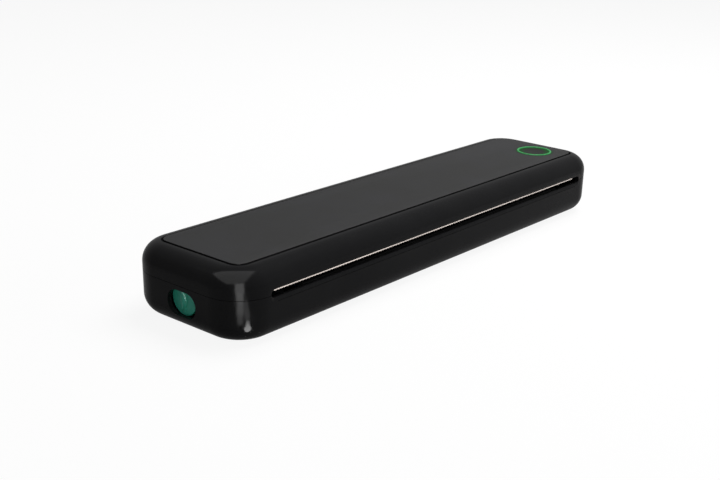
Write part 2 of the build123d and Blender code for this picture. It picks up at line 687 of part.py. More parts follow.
def head_sink():
    """Extruded aluminium bar with fins below and a guide tab at each end."""
    half = PAPER_W / 2 + 1
    y0, y1 = PLATEN[0] - HEAD_W / 2 + 0.6, PLATEN[0] + HEAD_W / 2
    top = HEAD_Z - CERAMIC_T
    low = top - SINK_H
    slot = (y1 - y0 - FIN_COUNT * FIN_T) / (FIN_COUNT - 1)
    bar = block(-half, half, y0, y1, low, top)
    for gap in range(FIN_COUNT - 1):
        left = y0 + FIN_T + gap * (slot + FIN_T)
        bar = bar - block(-half - 1, half + 1, left, left + slot, low - 1, top - SINK_H / 2)
    z1 = top - 2 - RUN
    tab = [block(-PLATE_X - SHEET_T, -half + 1, PLATEN[0] - TAB_W / 2, PLATEN[0] + TAB_W / 2,
                 z1 - TAB_H, z1),
           block(half - 1, PLATE_X + SHEET_T, PLATEN[0] - TAB_W / 2, PLATEN[0] + TAB_W / 2,
                 z1 - TAB_H, z1)]
    return bar + tab


def head_springs():
    """Bowed leaf springs between the floor ribs and the heat sink."""
    high = HEAD_Z - CERAMIC_T - SINK_H - RUN
    springs = []
    for x in SPRING_X:
        outer = ThreePointArc((x - SPRING_REACH, 0, FLOOR), (x, 0, high), (x + SPRING_REACH, 0, FLOOR))
        inner = ThreePointArc((x + SPRING_REACH - 2 * SPRING_T, 0, FLOOR), (x, 0, high - SPRING_T),
                              (x - SPRING_REACH + 2 * SPRING_T, 0, FLOOR))
        ends = [Line(outer @ 1, inner @ 0), Line(inner @ 1, outer @ 0)]
        leaf = extrude(make_face([outer, inner] + ends), amount=SPRING_W, dir=(0, 1, 0))
        springs.append(Pos(0, PLATEN[0] - SPRING_W / 2, 0) * leaf)
    return springs


# ---- ribbon --------------------------------------------------------------------------
def ribbon_core(centre):
    """Core tube of one ribbon roll."""
    tube = rod(-CORE_END, CORE_END, centre, CORE_R)
    return tube - rod(-CORE_END, CORE_END, centre, HUB_R + 0.02)


def ribbon_roll(centre):
    """Wound ribbon on its core."""
    half = RIBBON_W / 2
    return rod(-half, half, centre, ROLL_R) - rod(-half, half, centre, CORE_R)


def hub(centre, side, shaft_end, shaft_r):
    """Hub that plugs into a core, with a flange and the shaft through the side plate."""
    plug = rod(*sorted((side * (CORE_END - HUB_PLUG), side * CORE_END)), centre, HUB_R)
    flange_x = sorted((side * CORE_END, side * (CORE_END + HUB_FLANGE)))
    flange = rod(*flange_x, centre, CORE_R + 2 * FIT)
    shaft = rod(*sorted((side * CORE_END, side * shaft_end)), centre, shaft_r)
    return plug + flange + shaft


def takeup_gear():
    """Take-up gear turning on the spool's shaft through a slip clutch."""
    return gear(TAKEUP_TEETH, TAKEUP, TAKEUP_PHASE, GEAR_X, GEAR_X + GEAR_T, HUB_SHAFT_R + RUN)


def clutch_washer():
    """Felt washer and collar between the take-up gear and the side plate."""
    x0 = PLATE_X + SHEET_T + FIT
    ring = rod(x0, GEAR_X - RUN, TAKEUP, HUB_SHAFT_R + 1.6)
    return ring - rod(x0, GEAR_X, TAKEUP, HUB_SHAFT_R)


def hand_wheel():
    """Finger wheel of the take-up spool: disc with a raised leaf-shaped grip across it."""
    face = -HALF_L + KNOB_RECESS
    disc = rod(face, face + KNOB_T, TAKEUP, KNOB_R)
    disc = chamfer(disc.edges().group_by(Axis.X)[0], 0.4)
    bow_r = (GRIP_L ** 2 + GRIP_W ** 2) / (4 * GRIP_W)
    shift = bow_r - GRIP_W / 2
    bows = [rod(face - GRIP_H, face, (TAKEUP[0] + side * shift, TAKEUP[1]), bow_r)
            for side in (-1, 1)]
    disc = disc + (bows[0] & bows[1])
    shaft = rod(face + KNOB_T, -PLATE_X - SHEET_T - KNOB_GAP, TAKEUP, KNOB_SHAFT_R + SLEEVE_T)
    return disc + shaft - rod(face + KNOB_T, -PLATE_X, TAKEUP, KNOB_SHAFT_R)


def ribbon_web():
    """Ribbon drawn from the supply roll, over the head, down to the take-up roll."""
    gap = ROLL_R + FIT
    z = HEAD_Z + NIP / 2
    rear = (PLATEN[0] + HEAD_W / 2 - 0.5, z)
    front = (PLATEN[0] - HEAD_W / 2, z)
    reach = hypot(front[0] - TAKEUP[0], front[1] - TAKEUP[1])
    bearing_angle = degrees(atan2(front[1] - TAKEUP[1], front[0] - TAKEUP[0]))
    touch = on_circle(TAKEUP, gap, bearing_angle - degrees(acos(gap / reach)))
    leave = on_circle(SUPPLY, gap, 90.0)
    half = RIBBON_T / 2
    upper = [leave, rear, front, touch]
    lower = [(touch[0] + 2 * half, touch[1]), (front[0] + 2 * half, front[1] - 2 * half),
             (rear[0], rear[1] - 2 * half), (leave[0], leave[1] - 2 * half)]
    return profile(upper + lower, -RIBBON_W / 2, RIBBON_W / 2)


# ---- drive -----------------------------------------------------------------------------
def motor():
    """Stepper can on the right side plate."""
    x1 = PLATE_X
    can = rod(x1 - MOTOR_L, x1, MOTOR, MOTOR_R)
    can = chamfer(can.edges().group_by(Axis.X)[0], MOTOR_R / 10)
    return can - rod(x1 - MOTOR_L / 2, x1 + 1, MOTOR, MOTOR_SHAFT_R + RUN)


def motor_shaft():
    return rod(PLATE_X - MOTOR_L / 2 + 0.1, LARGE_X + LARGE_T + 0.2, MOTOR, MOTOR_SHAFT_R)


def motor_pinion():
    return gear(PINION_TEETH, MOTOR, PINION_PHASE, GEAR_X, LARGE_X + LARGE_T, MOTOR_SHAFT_R)


def idler_gear():
    return gear(IDLER_TEETH, IDLER, IDLER_PHASE, GEAR_X, GEAR_X + GEAR_T, STUD_R + RUN)


def reduction_gear():
    """Two-step gear: large wheel from the pinion, small wheel to the take-up gear."""
    bore = STUD_R + RUN
    small = gear(SMALL_TEETH, REDUCTION, REDUCTION_PHASE, GEAR_X, LARGE_X, bore)
    return small + gear(LARGE_TEETH, REDUCTION, REDUCTION_PHASE, LARGE_X, LARGE_X + LARGE_T, bore)


# ---- electronics -------------------------------------------------------------------------
def battery_cells():
    """Stacked flat lithium cells under the deck."""
    cells = []
    for level in range(CELL_COUNT):
        z0 = FLOOR + FIT + level * (CELL_H + CELL_GAP)
        cell = block(CELL_X - CELL_L / 2, CELL_X + CELL_L / 2, BAY_Y - CELL_W / 2,
                     BAY_Y + CELL_W / 2, z0, z0 + CELL_H)
        cells.append(fillet(cell.edges().filter_by(Axis.X), TRAY_T))
    return cells


def battery_tray():
    """Open tray round the cells."""
    x0, x1 = CELL_X - CELL_L / 2, CELL_X + CELL_L / 2
    y0, y1 = BAY_Y - CELL_W / 2, BAY_Y + CELL_W / 2
    outer = block(x0 - TRAY_T, x1 + TRAY_T, y0 - TRAY_T, y1 + TRAY_T, FLOOR + RUN, FLOOR + CELL_H)
    return (outer - block(x0 - FIT, x1 + FIT, y0 - FIT, y1 + FIT, FLOOR, HEIGHT)) & pebble(WALL + 0.1)


def board_posts():
    reach = MAIN_BOARD_L / 2 - BOARD_HOLE_IN
    return [(BOARD_X + side * reach, BAY_Y) for side in (-1, 1)]


def main_board():
    """Main board beside the battery."""
    board = block(BOARD_X - MAIN_BOARD_L / 2, BOARD_X + MAIN_BOARD_L / 2, BAY_Y - CELL_W / 2,
                  BAY_Y + CELL_W / 2, BOARD_Z, BOARD_Z + BOARD_T)
    return board - [post(x, y, 0, HEIGHT, SCREW_R + 0.1) for x, y in board_posts()]


def board_parts():
    """Chips, connector and coil on the main board."""
    z = BOARD_Z + BOARD_T
    parts = []
    for dx, dy, long, wide, high in CHIPS:
        x, y = BOARD_X + dx, BAY_Y + dy
        parts.append(block(x - long / 2, x + long / 2, y - wide / 2, y + wide / 2, z, z + high))
    dx, dy, radius, high = COIL
    return parts + [post(BOARD_X + dx, BAY_Y + dy, z, z + high, radius)]


def usb_port():
    """USB-C receptacle shell in the right end."""
    x1 = HALF_L - 0.6
    shell = usb_hole(0, x1 - USB_L, x1) - usb_hole(-0.35, x1 - USB_L + 0.5, x1 + 1)
    tongue = block(x1 - USB_L + 0.4, x1 - 1.2, USB_Y - 3.0, USB_Y + 3.0, USB_Z - 0.35, USB_Z + 0.35)
    return shell + tongue


def usb_board():
    """Small board under the receptacle, on a pad of the base."""
    x1 = IN_L - 0.4
    top = USB_Z - USB_H / 2
    half = USB_BOARD_W / 2
    return block(x1 - USB_BOARD_L, x1, USB_Y - half, USB_Y + half, top - BOARD_T, top)


def usb_rest():
    """Blocks of the base that carry the USB board."""
    x1 = IN_L - 0.4
    top = USB_Z - USB_H / 2 - BOARD_T
    x0 = x1 - USB_BOARD_L
    inner = USB_BOARD_W / 2 - USB_REST
    rest = block(x0, x0 + USB_REST, USB_Y + inner, USB_Y + inner + USB_REST, FLOOR - 1, top)
    return [rest, mirror(rest, Plane.XZ.offset(-USB_Y))]


def base_magnets():
    top = SEAM_Z - SEAM_GAP / 2
    return [post(x, y, top - MAGNET_T, top, MAGNET_R) for x, y in magnet_places()]


def cover_magnets():
    low = SEAM_Z + SEAM_GAP + FIT / 2
    return [post(x, y, low, low + MAGNET_T, MAGNET_R) for x, y in magnet_places()]


def hinge_pins():
    half = PIN_L / 2 - 0.2
    return [rod(x - half, x + half, HINGE, PIN_R) for x in LUG_X]


def feet():
    """Rubber feet let into the underside."""
    return [foot_pad(x, y, 0, FOOT_PROUD + FOOT_RECESS - 0.02, 0) for x, y in foot_places()]


def screw(x, y, seat, length):
    """Pan-head screw, head up, seated on a face: twelve-sided head, eight-sided shank."""
    head = extrude(Pos(x, y, seat) * RegularPolygon(SCREW_HEAD_R, 12), amount=SCREW_HEAD_T)
    shank = extrude(Pos(x, y, seat) * RegularPolygon(SCREW_R - 0.03, 8), amount=-length)
    return head + shank


def deck_screws():
    return [screw(x, y, DECK_Z - SCREW_HEAD_T, SCREW_L) for x, y in DECK_SCREWS]


def board_screw_pair():
    """Screws of the main board."""
    return [screw(x, y, BOARD_Z + BOARD_T, SCREW_L - 1) for x, y in board_posts()]


def frame_screws():
    seat = FLOOR + SHEET_SEAT + SHEET_T
    length = SHEET_SEAT + SHEET_T - FIT
    return [screw(x, y, seat, length) for side in (-1, 1) for x, y in plate_feet(side)]


def board_screw_set():
    """Screws that hold the button board up against its bosses."""
    low = board_top() - BOARD_T
    length = BOARD_T + 2 * SCREW_R
    return [mirror(screw(x, y, low, length), Plane.XY.offset(low)) for x, y in board_screws()]


def build():
    """Write every sub-part."""
    os.makedirs("parts", exist_ok=True)
    nodes = {
        "base_shell": base_shell(), "cover_shell": cover_shell(), "top_plate": top_plate(),
        "ring_light": ring_light(), "power_button": power_button(), "button_board": button_board(),
        "button_switch": button_switch(), "button_board_screws": board_screw_set(),
        "tear_bar": tear_bar(), "platen_shaft": platen_shaft(), "platen_rubber": platen_rubber(),
        "platen_bushes": platen_bushes(), "platen_gear": platen_gear(),
        "side_plate_left": side_plate(-1), "side_plate_right": side_plate(1),
        "gear_studs": gear_studs(), "paper_deck": deck(), "head_ceramic": head_ceramic(),
        "head_heat_sink": head_sink(), "head_springs": head_springs(),
        "supply_core": ribbon_core(SUPPLY), "supply_roll": ribbon_roll(SUPPLY),
        "supply_hubs": [hub(SUPPLY, side, PLATE_X + SHEET_T + 1, HUB_SHAFT_R) for side in (-1, 1)],
        "takeup_core": ribbon_core(TAKEUP), "takeup_roll": ribbon_roll(TAKEUP),
        "takeup_hub_right": hub(TAKEUP, 1, GEAR_X + GEAR_T, HUB_SHAFT_R),
        "takeup_hub_left": hub(TAKEUP, -1, HALF_L - KNOB_RECESS - KNOB_T, KNOB_SHAFT_R),
        "hand_wheel": hand_wheel(), "takeup_gear": takeup_gear(), "clutch_washer": clutch_washer(),
        "ribbon_web": ribbon_web(), "motor_can": motor(), "motor_shaft": motor_shaft(),
        "motor_pinion": motor_pinion(), "idler_gear": idler_gear(),
        "reduction_gear": reduction_gear(), "battery_cells": battery_cells(),
        "battery_tray": battery_tray(), "main_board": main_board(), "board_parts": board_parts(),
        "usb_port": usb_port(), "usb_board": usb_board(), "base_magnets": base_magnets(),
        "cover_magnets": cover_magnets(), "hinge_pins": hinge_pins(), "rubber_feet": feet(),
        "deck_screws": deck_screws(), "frame_screws": frame_screws(),
        "main_board_screws": board_screw_pair(),
    }
    for name, shape in nodes.items():
        save(name, Compound(children=shape) if isinstance(shape, list) else shape)


build()
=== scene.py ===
"""Portable thermal transfer printer with a hinged lid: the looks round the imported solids."""

import logging
import math
from collections.abc import Callable, Iterator
from contextlib import contextmanager
from dataclasses import dataclass, field
from enum import Enum

import bpy
from bpy.types import Material, Node, NodeSocket, NodeTree, Object, World
from mathutils import Matrix, Quaternion, Vector


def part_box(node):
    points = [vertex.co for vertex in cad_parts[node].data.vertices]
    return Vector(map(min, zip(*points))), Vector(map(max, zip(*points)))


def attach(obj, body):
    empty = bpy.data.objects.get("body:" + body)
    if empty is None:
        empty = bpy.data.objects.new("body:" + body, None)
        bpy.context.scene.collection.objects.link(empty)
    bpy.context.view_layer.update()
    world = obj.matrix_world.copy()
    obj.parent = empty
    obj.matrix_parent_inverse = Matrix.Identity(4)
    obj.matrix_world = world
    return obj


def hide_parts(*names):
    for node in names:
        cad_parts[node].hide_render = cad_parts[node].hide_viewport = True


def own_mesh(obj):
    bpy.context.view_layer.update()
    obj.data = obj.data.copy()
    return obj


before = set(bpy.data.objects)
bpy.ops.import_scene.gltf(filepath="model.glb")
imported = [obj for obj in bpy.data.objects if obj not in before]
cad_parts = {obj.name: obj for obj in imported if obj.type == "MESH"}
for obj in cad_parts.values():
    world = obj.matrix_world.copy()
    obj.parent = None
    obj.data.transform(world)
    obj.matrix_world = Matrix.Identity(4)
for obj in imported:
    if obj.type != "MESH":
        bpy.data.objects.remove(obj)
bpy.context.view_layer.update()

MM = 0.001
NEAR = 0.01 * MM    # how close to a level a point lies to count as on it
WELD = 0.001 * MM   # distance at which loose triangles are joined up
TINY = 1e-9         # length below which a way has no direction
FACING = 0.9        # least part of a face's normal along the way it is picked by
ALMOST = 0.999      # part of half a width that still rounds into a clean end
WAVE_UNIT = 2 * math.pi / 20    # length of one wave of the wave texture at a scale of one
LOG = logging.getLogger("printer")


# ---- colour and nodes -------------------------------------------------------------------
def linear(code: str) -> tuple[float, float, float, float]:
    """Turns an sRGB colour into Blender's linear one.

    Args:
        code: Six hex digits.

    Returns:
        Red, green, blue and an alpha of one.
    """
    parts = [int(code[i:i + 2], 16) / 255 for i in (0, 2, 4)]
    flat = [p / 12.92 if p <= 0.04045 else ((p + 0.055) / 1.055) ** 2.4 for p in parts]
    return flat[0], flat[1], flat[2], 1.0


def per_metre(size_mm: float) -> float:
    """Texture scale at which one cell is size_mm wide."""
    return 1.0 / (size_mm * MM)


def add_node(tree: NodeTree, kind: str, feeds: dict[str | int, object] | None = None,
             **settings: object) -> Node:
    """Adds one node with its settings and what feeds it.

    Args:
        tree: Node tree that takes the node.
        kind: Blender's name for the node.
        feeds: Input by name or index, and the socket or plain value that goes in.
        **settings: Property or input values, spaces in a name written as underscores.

    Returns:
        The new node.
    """
    node = tree.nodes.new(kind)
    for key, value in settings.items():
        if hasattr(node, key):
            setattr(node, key, value)
        else:
            node.inputs[key.replace("_", " ")].default_value = value
    for key, feed in (feeds or {}).items():
        if isinstance(feed, NodeSocket):
            tree.links.new(feed, node.inputs[key])
        else:
            node.inputs[key].default_value = feed
    return node


def maths(tree: NodeTree, operation: str, *values: NodeSocket | float) -> NodeSocket:
    """Adds one step of arithmetic.

    Args:
        tree: Node tree that takes the node.
        operation: Blender's name for the step.
        *values: Sockets or plain numbers that go in.

    Returns:
        Socket with the result.
    """
    node = add_node(tree, "ShaderNodeMath", dict(enumerate(values)), operation=operation)
    return node.outputs["Value"]


def blank_tree(owner: Material | World) -> NodeTree:
    """Gives a material or the world an empty node tree.

    Args:
        owner: Material or world.

    Returns:
        The tree.
    """
    owner.use_nodes = True
    owner.node_tree.nodes.clear()
    return owner.node_tree


# ---- finishes ---------------------------------------------------------------------------
class Lay(Enum):
    """How a grain is drawn out, as the scale of its coordinates."""

    NONE = (1.0, 1.0, 1.0)
    FIBRES = (0.25, 1.0, 1.0)
    ALONG_X = (0.04, 1.0, 1.0)
    ALONG_Y = (1.0, 0.04, 1.0)


@dataclass(frozen=True)
class Finish:
    """What every finish has: its name, two close tones and its gloss.

    Moulding grain, grinding lines and card fibres are too fine to show from a few steps away,
    so they are drawn as coarse as they need to be seen.

    Attributes:
        name: Material and process.
        tone: Main colour.
        drift: Colour the main one drifts to in soft patches.
        roughness: Middle roughness.
        spread: How far the roughness wanders to each side.
        grain_mm: Width of one grain of the surface.
        relief_mm: Height of the grain.
        patch_mm: Width of one soft patch.
        drift_from: Values of the slow noise between which the colour drifts.
        lay: Way the grain is drawn out.
        detail: Number of finer layers in the grain.
        ragged: How much each finer layer adds.
    """

    name: str
    tone: str
    drift: str
    roughness: float
    spread: float = 0.05
    grain_mm: float = 0.4
    relief_mm: float = 0.01
    patch_mm: float = 25.0
    drift_from: tuple[float, float] = (0.35, 0.65)
    lay: Lay = Lay.NONE
    detail: float = 3.0
    ragged: float = 0.55

    def grain(self, tree: NodeTree, at: NodeSocket) -> NodeSocket:
        """Fine noise of the surface."""
        return add_node(tree, "ShaderNodeTexNoise", {"Vector": at}, Detail=self.detail,
                        Roughness=self.ragged, Scale=per_metre(self.grain_mm)).outputs["Fac"]

    def settings(self) -> dict[str, object]:
        """Values that are the same all over the surface, where a finish has any."""
        return {}

    def colour(self, tree: NodeTree, at: NodeSocket, patch: NodeSocket) -> NodeSocket:
        """Main colour that drifts to the other in soft patches.

        Args:
            tree: Node tree of the finish.
            at: Object coordinates.
            patch: Slow noise, from zero to one.

        Returns:
            Socket with the colour.
        """
        low, high = self.drift_from
        share = add_node(tree, "ShaderNodeMapRange", {"Value": patch}, From_Min=low,
                         From_Max=high)
        mixed = add_node(tree, "ShaderNodeMixRGB", {"Fac": share.outputs["Result"]},
                         Color1=linear(self.tone), Color2=linear(self.drift))
        return mixed.outputs["Color"]

    def feeds(self, tree: NodeTree, at: NodeSocket) -> dict[str, NodeSocket]:
        """What varies over the surface.

        Args:
            tree: Node tree of the finish.
            at: Object coordinates.

        Returns:
            Shader input, and the socket that feeds it.
        """
        patch = add_node(tree, "ShaderNodeTexNoise", {"Vector": at}, Detail=2.0, Roughness=0.5,
                         Scale=per_metre(self.patch_mm)).outputs["Fac"]
        gloss = add_node(tree, "ShaderNodeMapRange", {"Value": patch},
                         To_Min=self.roughness - self.spread, To_Max=self.roughness + self.spread)
        drawn = add_node(tree, "ShaderNodeMapping", {"Vector": at}, Scale=self.lay.value)
        height = self.grain(tree, drawn.outputs["Vector"])
        bump = add_node(tree, "ShaderNodeBump", {"Height": height}, Strength=1.0,
                        Distance=self.relief_mm * MM)
        return {"Base Color": self.colour(tree, at, patch), "Roughness": gloss.outputs["Result"],
                "Normal": bump.outputs["Normal"]}

    def build(self) -> Material:
        """Makes the material.

        Returns:
            Material with its nodes joined up.
        """
        material = bpy.data.materials.new(self.name)
        tree = blank_tree(material)
        at = add_node(tree, "ShaderNodeTexCoord").outputs["Object"]
        shader = add_node(tree, "ShaderNodeBsdfPrincipled",
                          {**self.settings(), **self.feeds(tree, at)})
        add_node(tree, "ShaderNodeOutputMaterial", {"Surface": shader.outputs["BSDF"]})
        material.diffuse_color = linear(self.tone)
        return material


@dataclass(frozen=True)
class Moulded(Finish):
    """Injection-moulded plastic: spark-eroded grain from the tool over a slow drift of gloss.

    Attributes:
        ior: Refractive index of the plastic.
        level: Share of the usual surface reflection.
        clear: Weight of the light that passes into the plastic.
    """

    ior: float = 1.5
    level: float = 0.5
    clear: float = 0.0

    def settings(self) -> dict[str, object]:
        """Reflection of the plastic, and the glow of light inside it."""
        return {"IOR": self.ior, "Specular IOR Level": self.level,
                "Subsurface Weight": self.clear, "Subsurface Scale": 2 * MM}


@dataclass(frozen=True)
class Metal(Finish):
    """Bare or plated metal: fine scratches that follow the way it was rolled or turned."""

    detail: float = 4.0
    ragged: float = 0.6

    def settings(self) -> dict[str, object]:
        """All of the light comes off the metal itself."""
        return {"Metallic": 1.0}


@dataclass(frozen=True)
class Fibrous(Finish):
    """Card or felt: short fibres lying every way, with a soft bloom at a low angle.

    Attributes:
        bloom: Weight of the sheen.
    """

    bloom: float = 0.2
    lay: Lay = Lay.FIBRES

    def grain(self, tree: NodeTree, at: NodeSocket) -> NodeSocket:
        """Cells pulled out into short fibres."""
        return add_node(tree, "ShaderNodeTexVoronoi", {"Vector": at}, feature="DISTANCE_TO_EDGE",
                        Scale=per_metre(self.grain_mm)).outputs["Distance"]

    def settings(self) -> dict[str, object]:
        """Sheen of the fibres' ends."""
        return {"IOR": 1.47, "Sheen Weight": self.bloom, "Sheen Roughness": 0.6}


@dataclass(frozen=True)
class Wound(Finish):
    """Film wound on a core: hair-fine rings at the ends and faint bands along the roll.

    Attributes:
        turn_mm: Width of one band of turns.
    """

    turn_mm: float = 2.2

    def grain(self, tree: NodeTree, at: NodeSocket) -> NodeSocket:
        """Bands across the roll's length."""
        return add_node(tree, "ShaderNodeTexWave", {"Vector": at}, Distortion=3.0, Detail=2.0,
                        Scale=per_metre(self.turn_mm) * WAVE_UNIT).outputs["Fac"]

    def settings(self) -> dict[str, object]:
        """Thin polyester film over the ink."""
        return {"IOR": 1.6, "Coat Weight": 0.4, "Coat Roughness": 0.2}


@dataclass(frozen=True)
class Board(Finish):
    """Circuit board: solder mask over copper tracks.

    Attributes:
        run_mm: Length of one run of a track.
        pitch_mm: Distance between tracks.
        track_mm: Half the width of a track.
        copper: Tone of the mask where copper lies under it.
    """

    run_mm: float = 15.36
    pitch_mm: float = 1.024
    track_mm: float = 0.192
    copper: str = "2F7A4B"

    def colour(self, tree: NodeTree, at: NodeSocket, patch: NodeSocket) -> NodeSocket:
        """Mask with lighter tracks under it.

        Args:
            tree: Node tree of the finish.
            at: Object coordinates.
            patch: Slow noise, which the mask doesn't show.

        Returns:
            Socket with the colour.
        """
        cells = add_node(tree, "ShaderNodeTexBrick", {"Vector": at}, offset=0.37,
                         Scale=per_metre(self.run_mm), Brick_Width=1.0,
                         Row_Height=self.pitch_mm / self.run_mm,
                         Mortar_Size=self.track_mm / self.run_mm, Color1=linear(self.tone),
                         Color2=linear(self.drift), Mortar=linear(self.copper))
        return cells.outputs["Color"]

    def settings(self) -> dict[str, object]:
        """Gloss of the cured mask."""
        return {"IOR": 1.5, "Coat Weight": 0.3, "Coat Roughness": 0.15}


@dataclass(frozen=True)
class PaintedRingGlow(Moulded):
    """Moulded plastic by the lit ring: painted glow of its light and painted shade on both sides.

    Attributes:
        middle_mm: Middle of the ring, in the model's frame.
        radius_mm: Radius at which the painted glow and painted shade are strongest.
        reach_mm: How far from that radius they end.
        painted_glow_tone: Colour of the painted glow.
        painted_glow: Strength of the painted glow beside the ring.
        unlit: Outer part of the reach that has painted shade but no painted glow.
        dimmed: Tone that the plastic's own colour is multiplied by beside the ring, as painted
            shade.
    """

    middle_mm: tuple[float, float] = (128.0, -8.6)
    radius_mm: float = 9.5
    reach_mm: float = 3.0
    painted_glow_tone: str = "10862A"
    painted_glow: float = 0.3
    unlit: float = 0.1
    dimmed: str = "707070"

    def nearness(self, tree: NodeTree, at: NodeSocket) -> NodeSocket:
        """How near a point is to the ring, seen from above.

        Args:
            tree: Node tree of the finish.
            at: Object coordinates.

        Returns:
            Socket that is one at the ring and zero out of its reach.
        """
        middle = (*(c * MM for c in self.middle_mm), 0.0)
        spot = add_node(tree, "ShaderNodeVectorMath", {0: at, 1: middle}, operation="SUBTRACT")
        flat = add_node(tree, "ShaderNodeVectorMath", {0: spot.outputs[0], 1: (1.0, 1.0, 0.0)},
                        operation="MULTIPLY")
        away = add_node(tree, "ShaderNodeVectorMath", {0: flat.outputs[0]}, operation="LENGTH")
        beside = maths(tree, "SUBTRACT", away.outputs["Value"], self.radius_mm * MM)
        near = add_node(tree, "ShaderNodeMapRange", {"Value": maths(tree, "ABSOLUTE", beside)},
                        From_Max=self.reach_mm * MM, To_Min=1.0, To_Max=0.0)
        return near.outputs["Result"]

    def feeds(self, tree: NodeTree, at: NodeSocket) -> dict[str, NodeSocket]:
        """Adds the painted glow and painted shade beside the ring to what the plastic has.

        Args:
            tree: Node tree of the finish.
            at: Object coordinates.

        Returns:
            Shader input, and the socket that feeds it.
        """
        plain = super().feeds(tree, at)
        near = self.nearness(tree, at)
        # painted shade: the plastic's own colour is darkened beside the ring
        dark = add_node(tree, "ShaderNodeMixRGB", {"Fac": near, "Color1": plain["Base Color"]},
                        blend_type="MULTIPLY", Color2=linear(self.dimmed))
        # painted glow: green emission beside the ring, though the plastic is no lamp
        lit = add_node(tree, "ShaderNodeMapRange", {"Value": near}, From_Min=self.unlit)
        painted_glow_colour = add_node(tree, "ShaderNodeMixRGB", {"Fac": lit.outputs["Result"]},
                        Color1=linear("000000"), Color2=linear(self.painted_glow_tone))
        return {**plain, "Base Color": dark.outputs["Color"],
                "Emission Color": painted_glow_colour.outputs["Color"]}

    def settings(self) -> dict[str, object]:
        """Strength of the painted glow."""
        return {**super().settings(), "Emission Strength": self.painted_glow}


@dataclass(frozen=True)
class LitRing(Finish):
    """Diffusing ring lit from below: green light that hardly varies round the ring.

    Attributes:
        glow: Strength of the light.
    """

    glow: float = 0.46

    def settings(self) -> dict[str, object]:
        """Light that leaves the ring."""
        return {"IOR": 1.49, "Emission Color": linear(self.tone), "Emission Strength": self.glow}


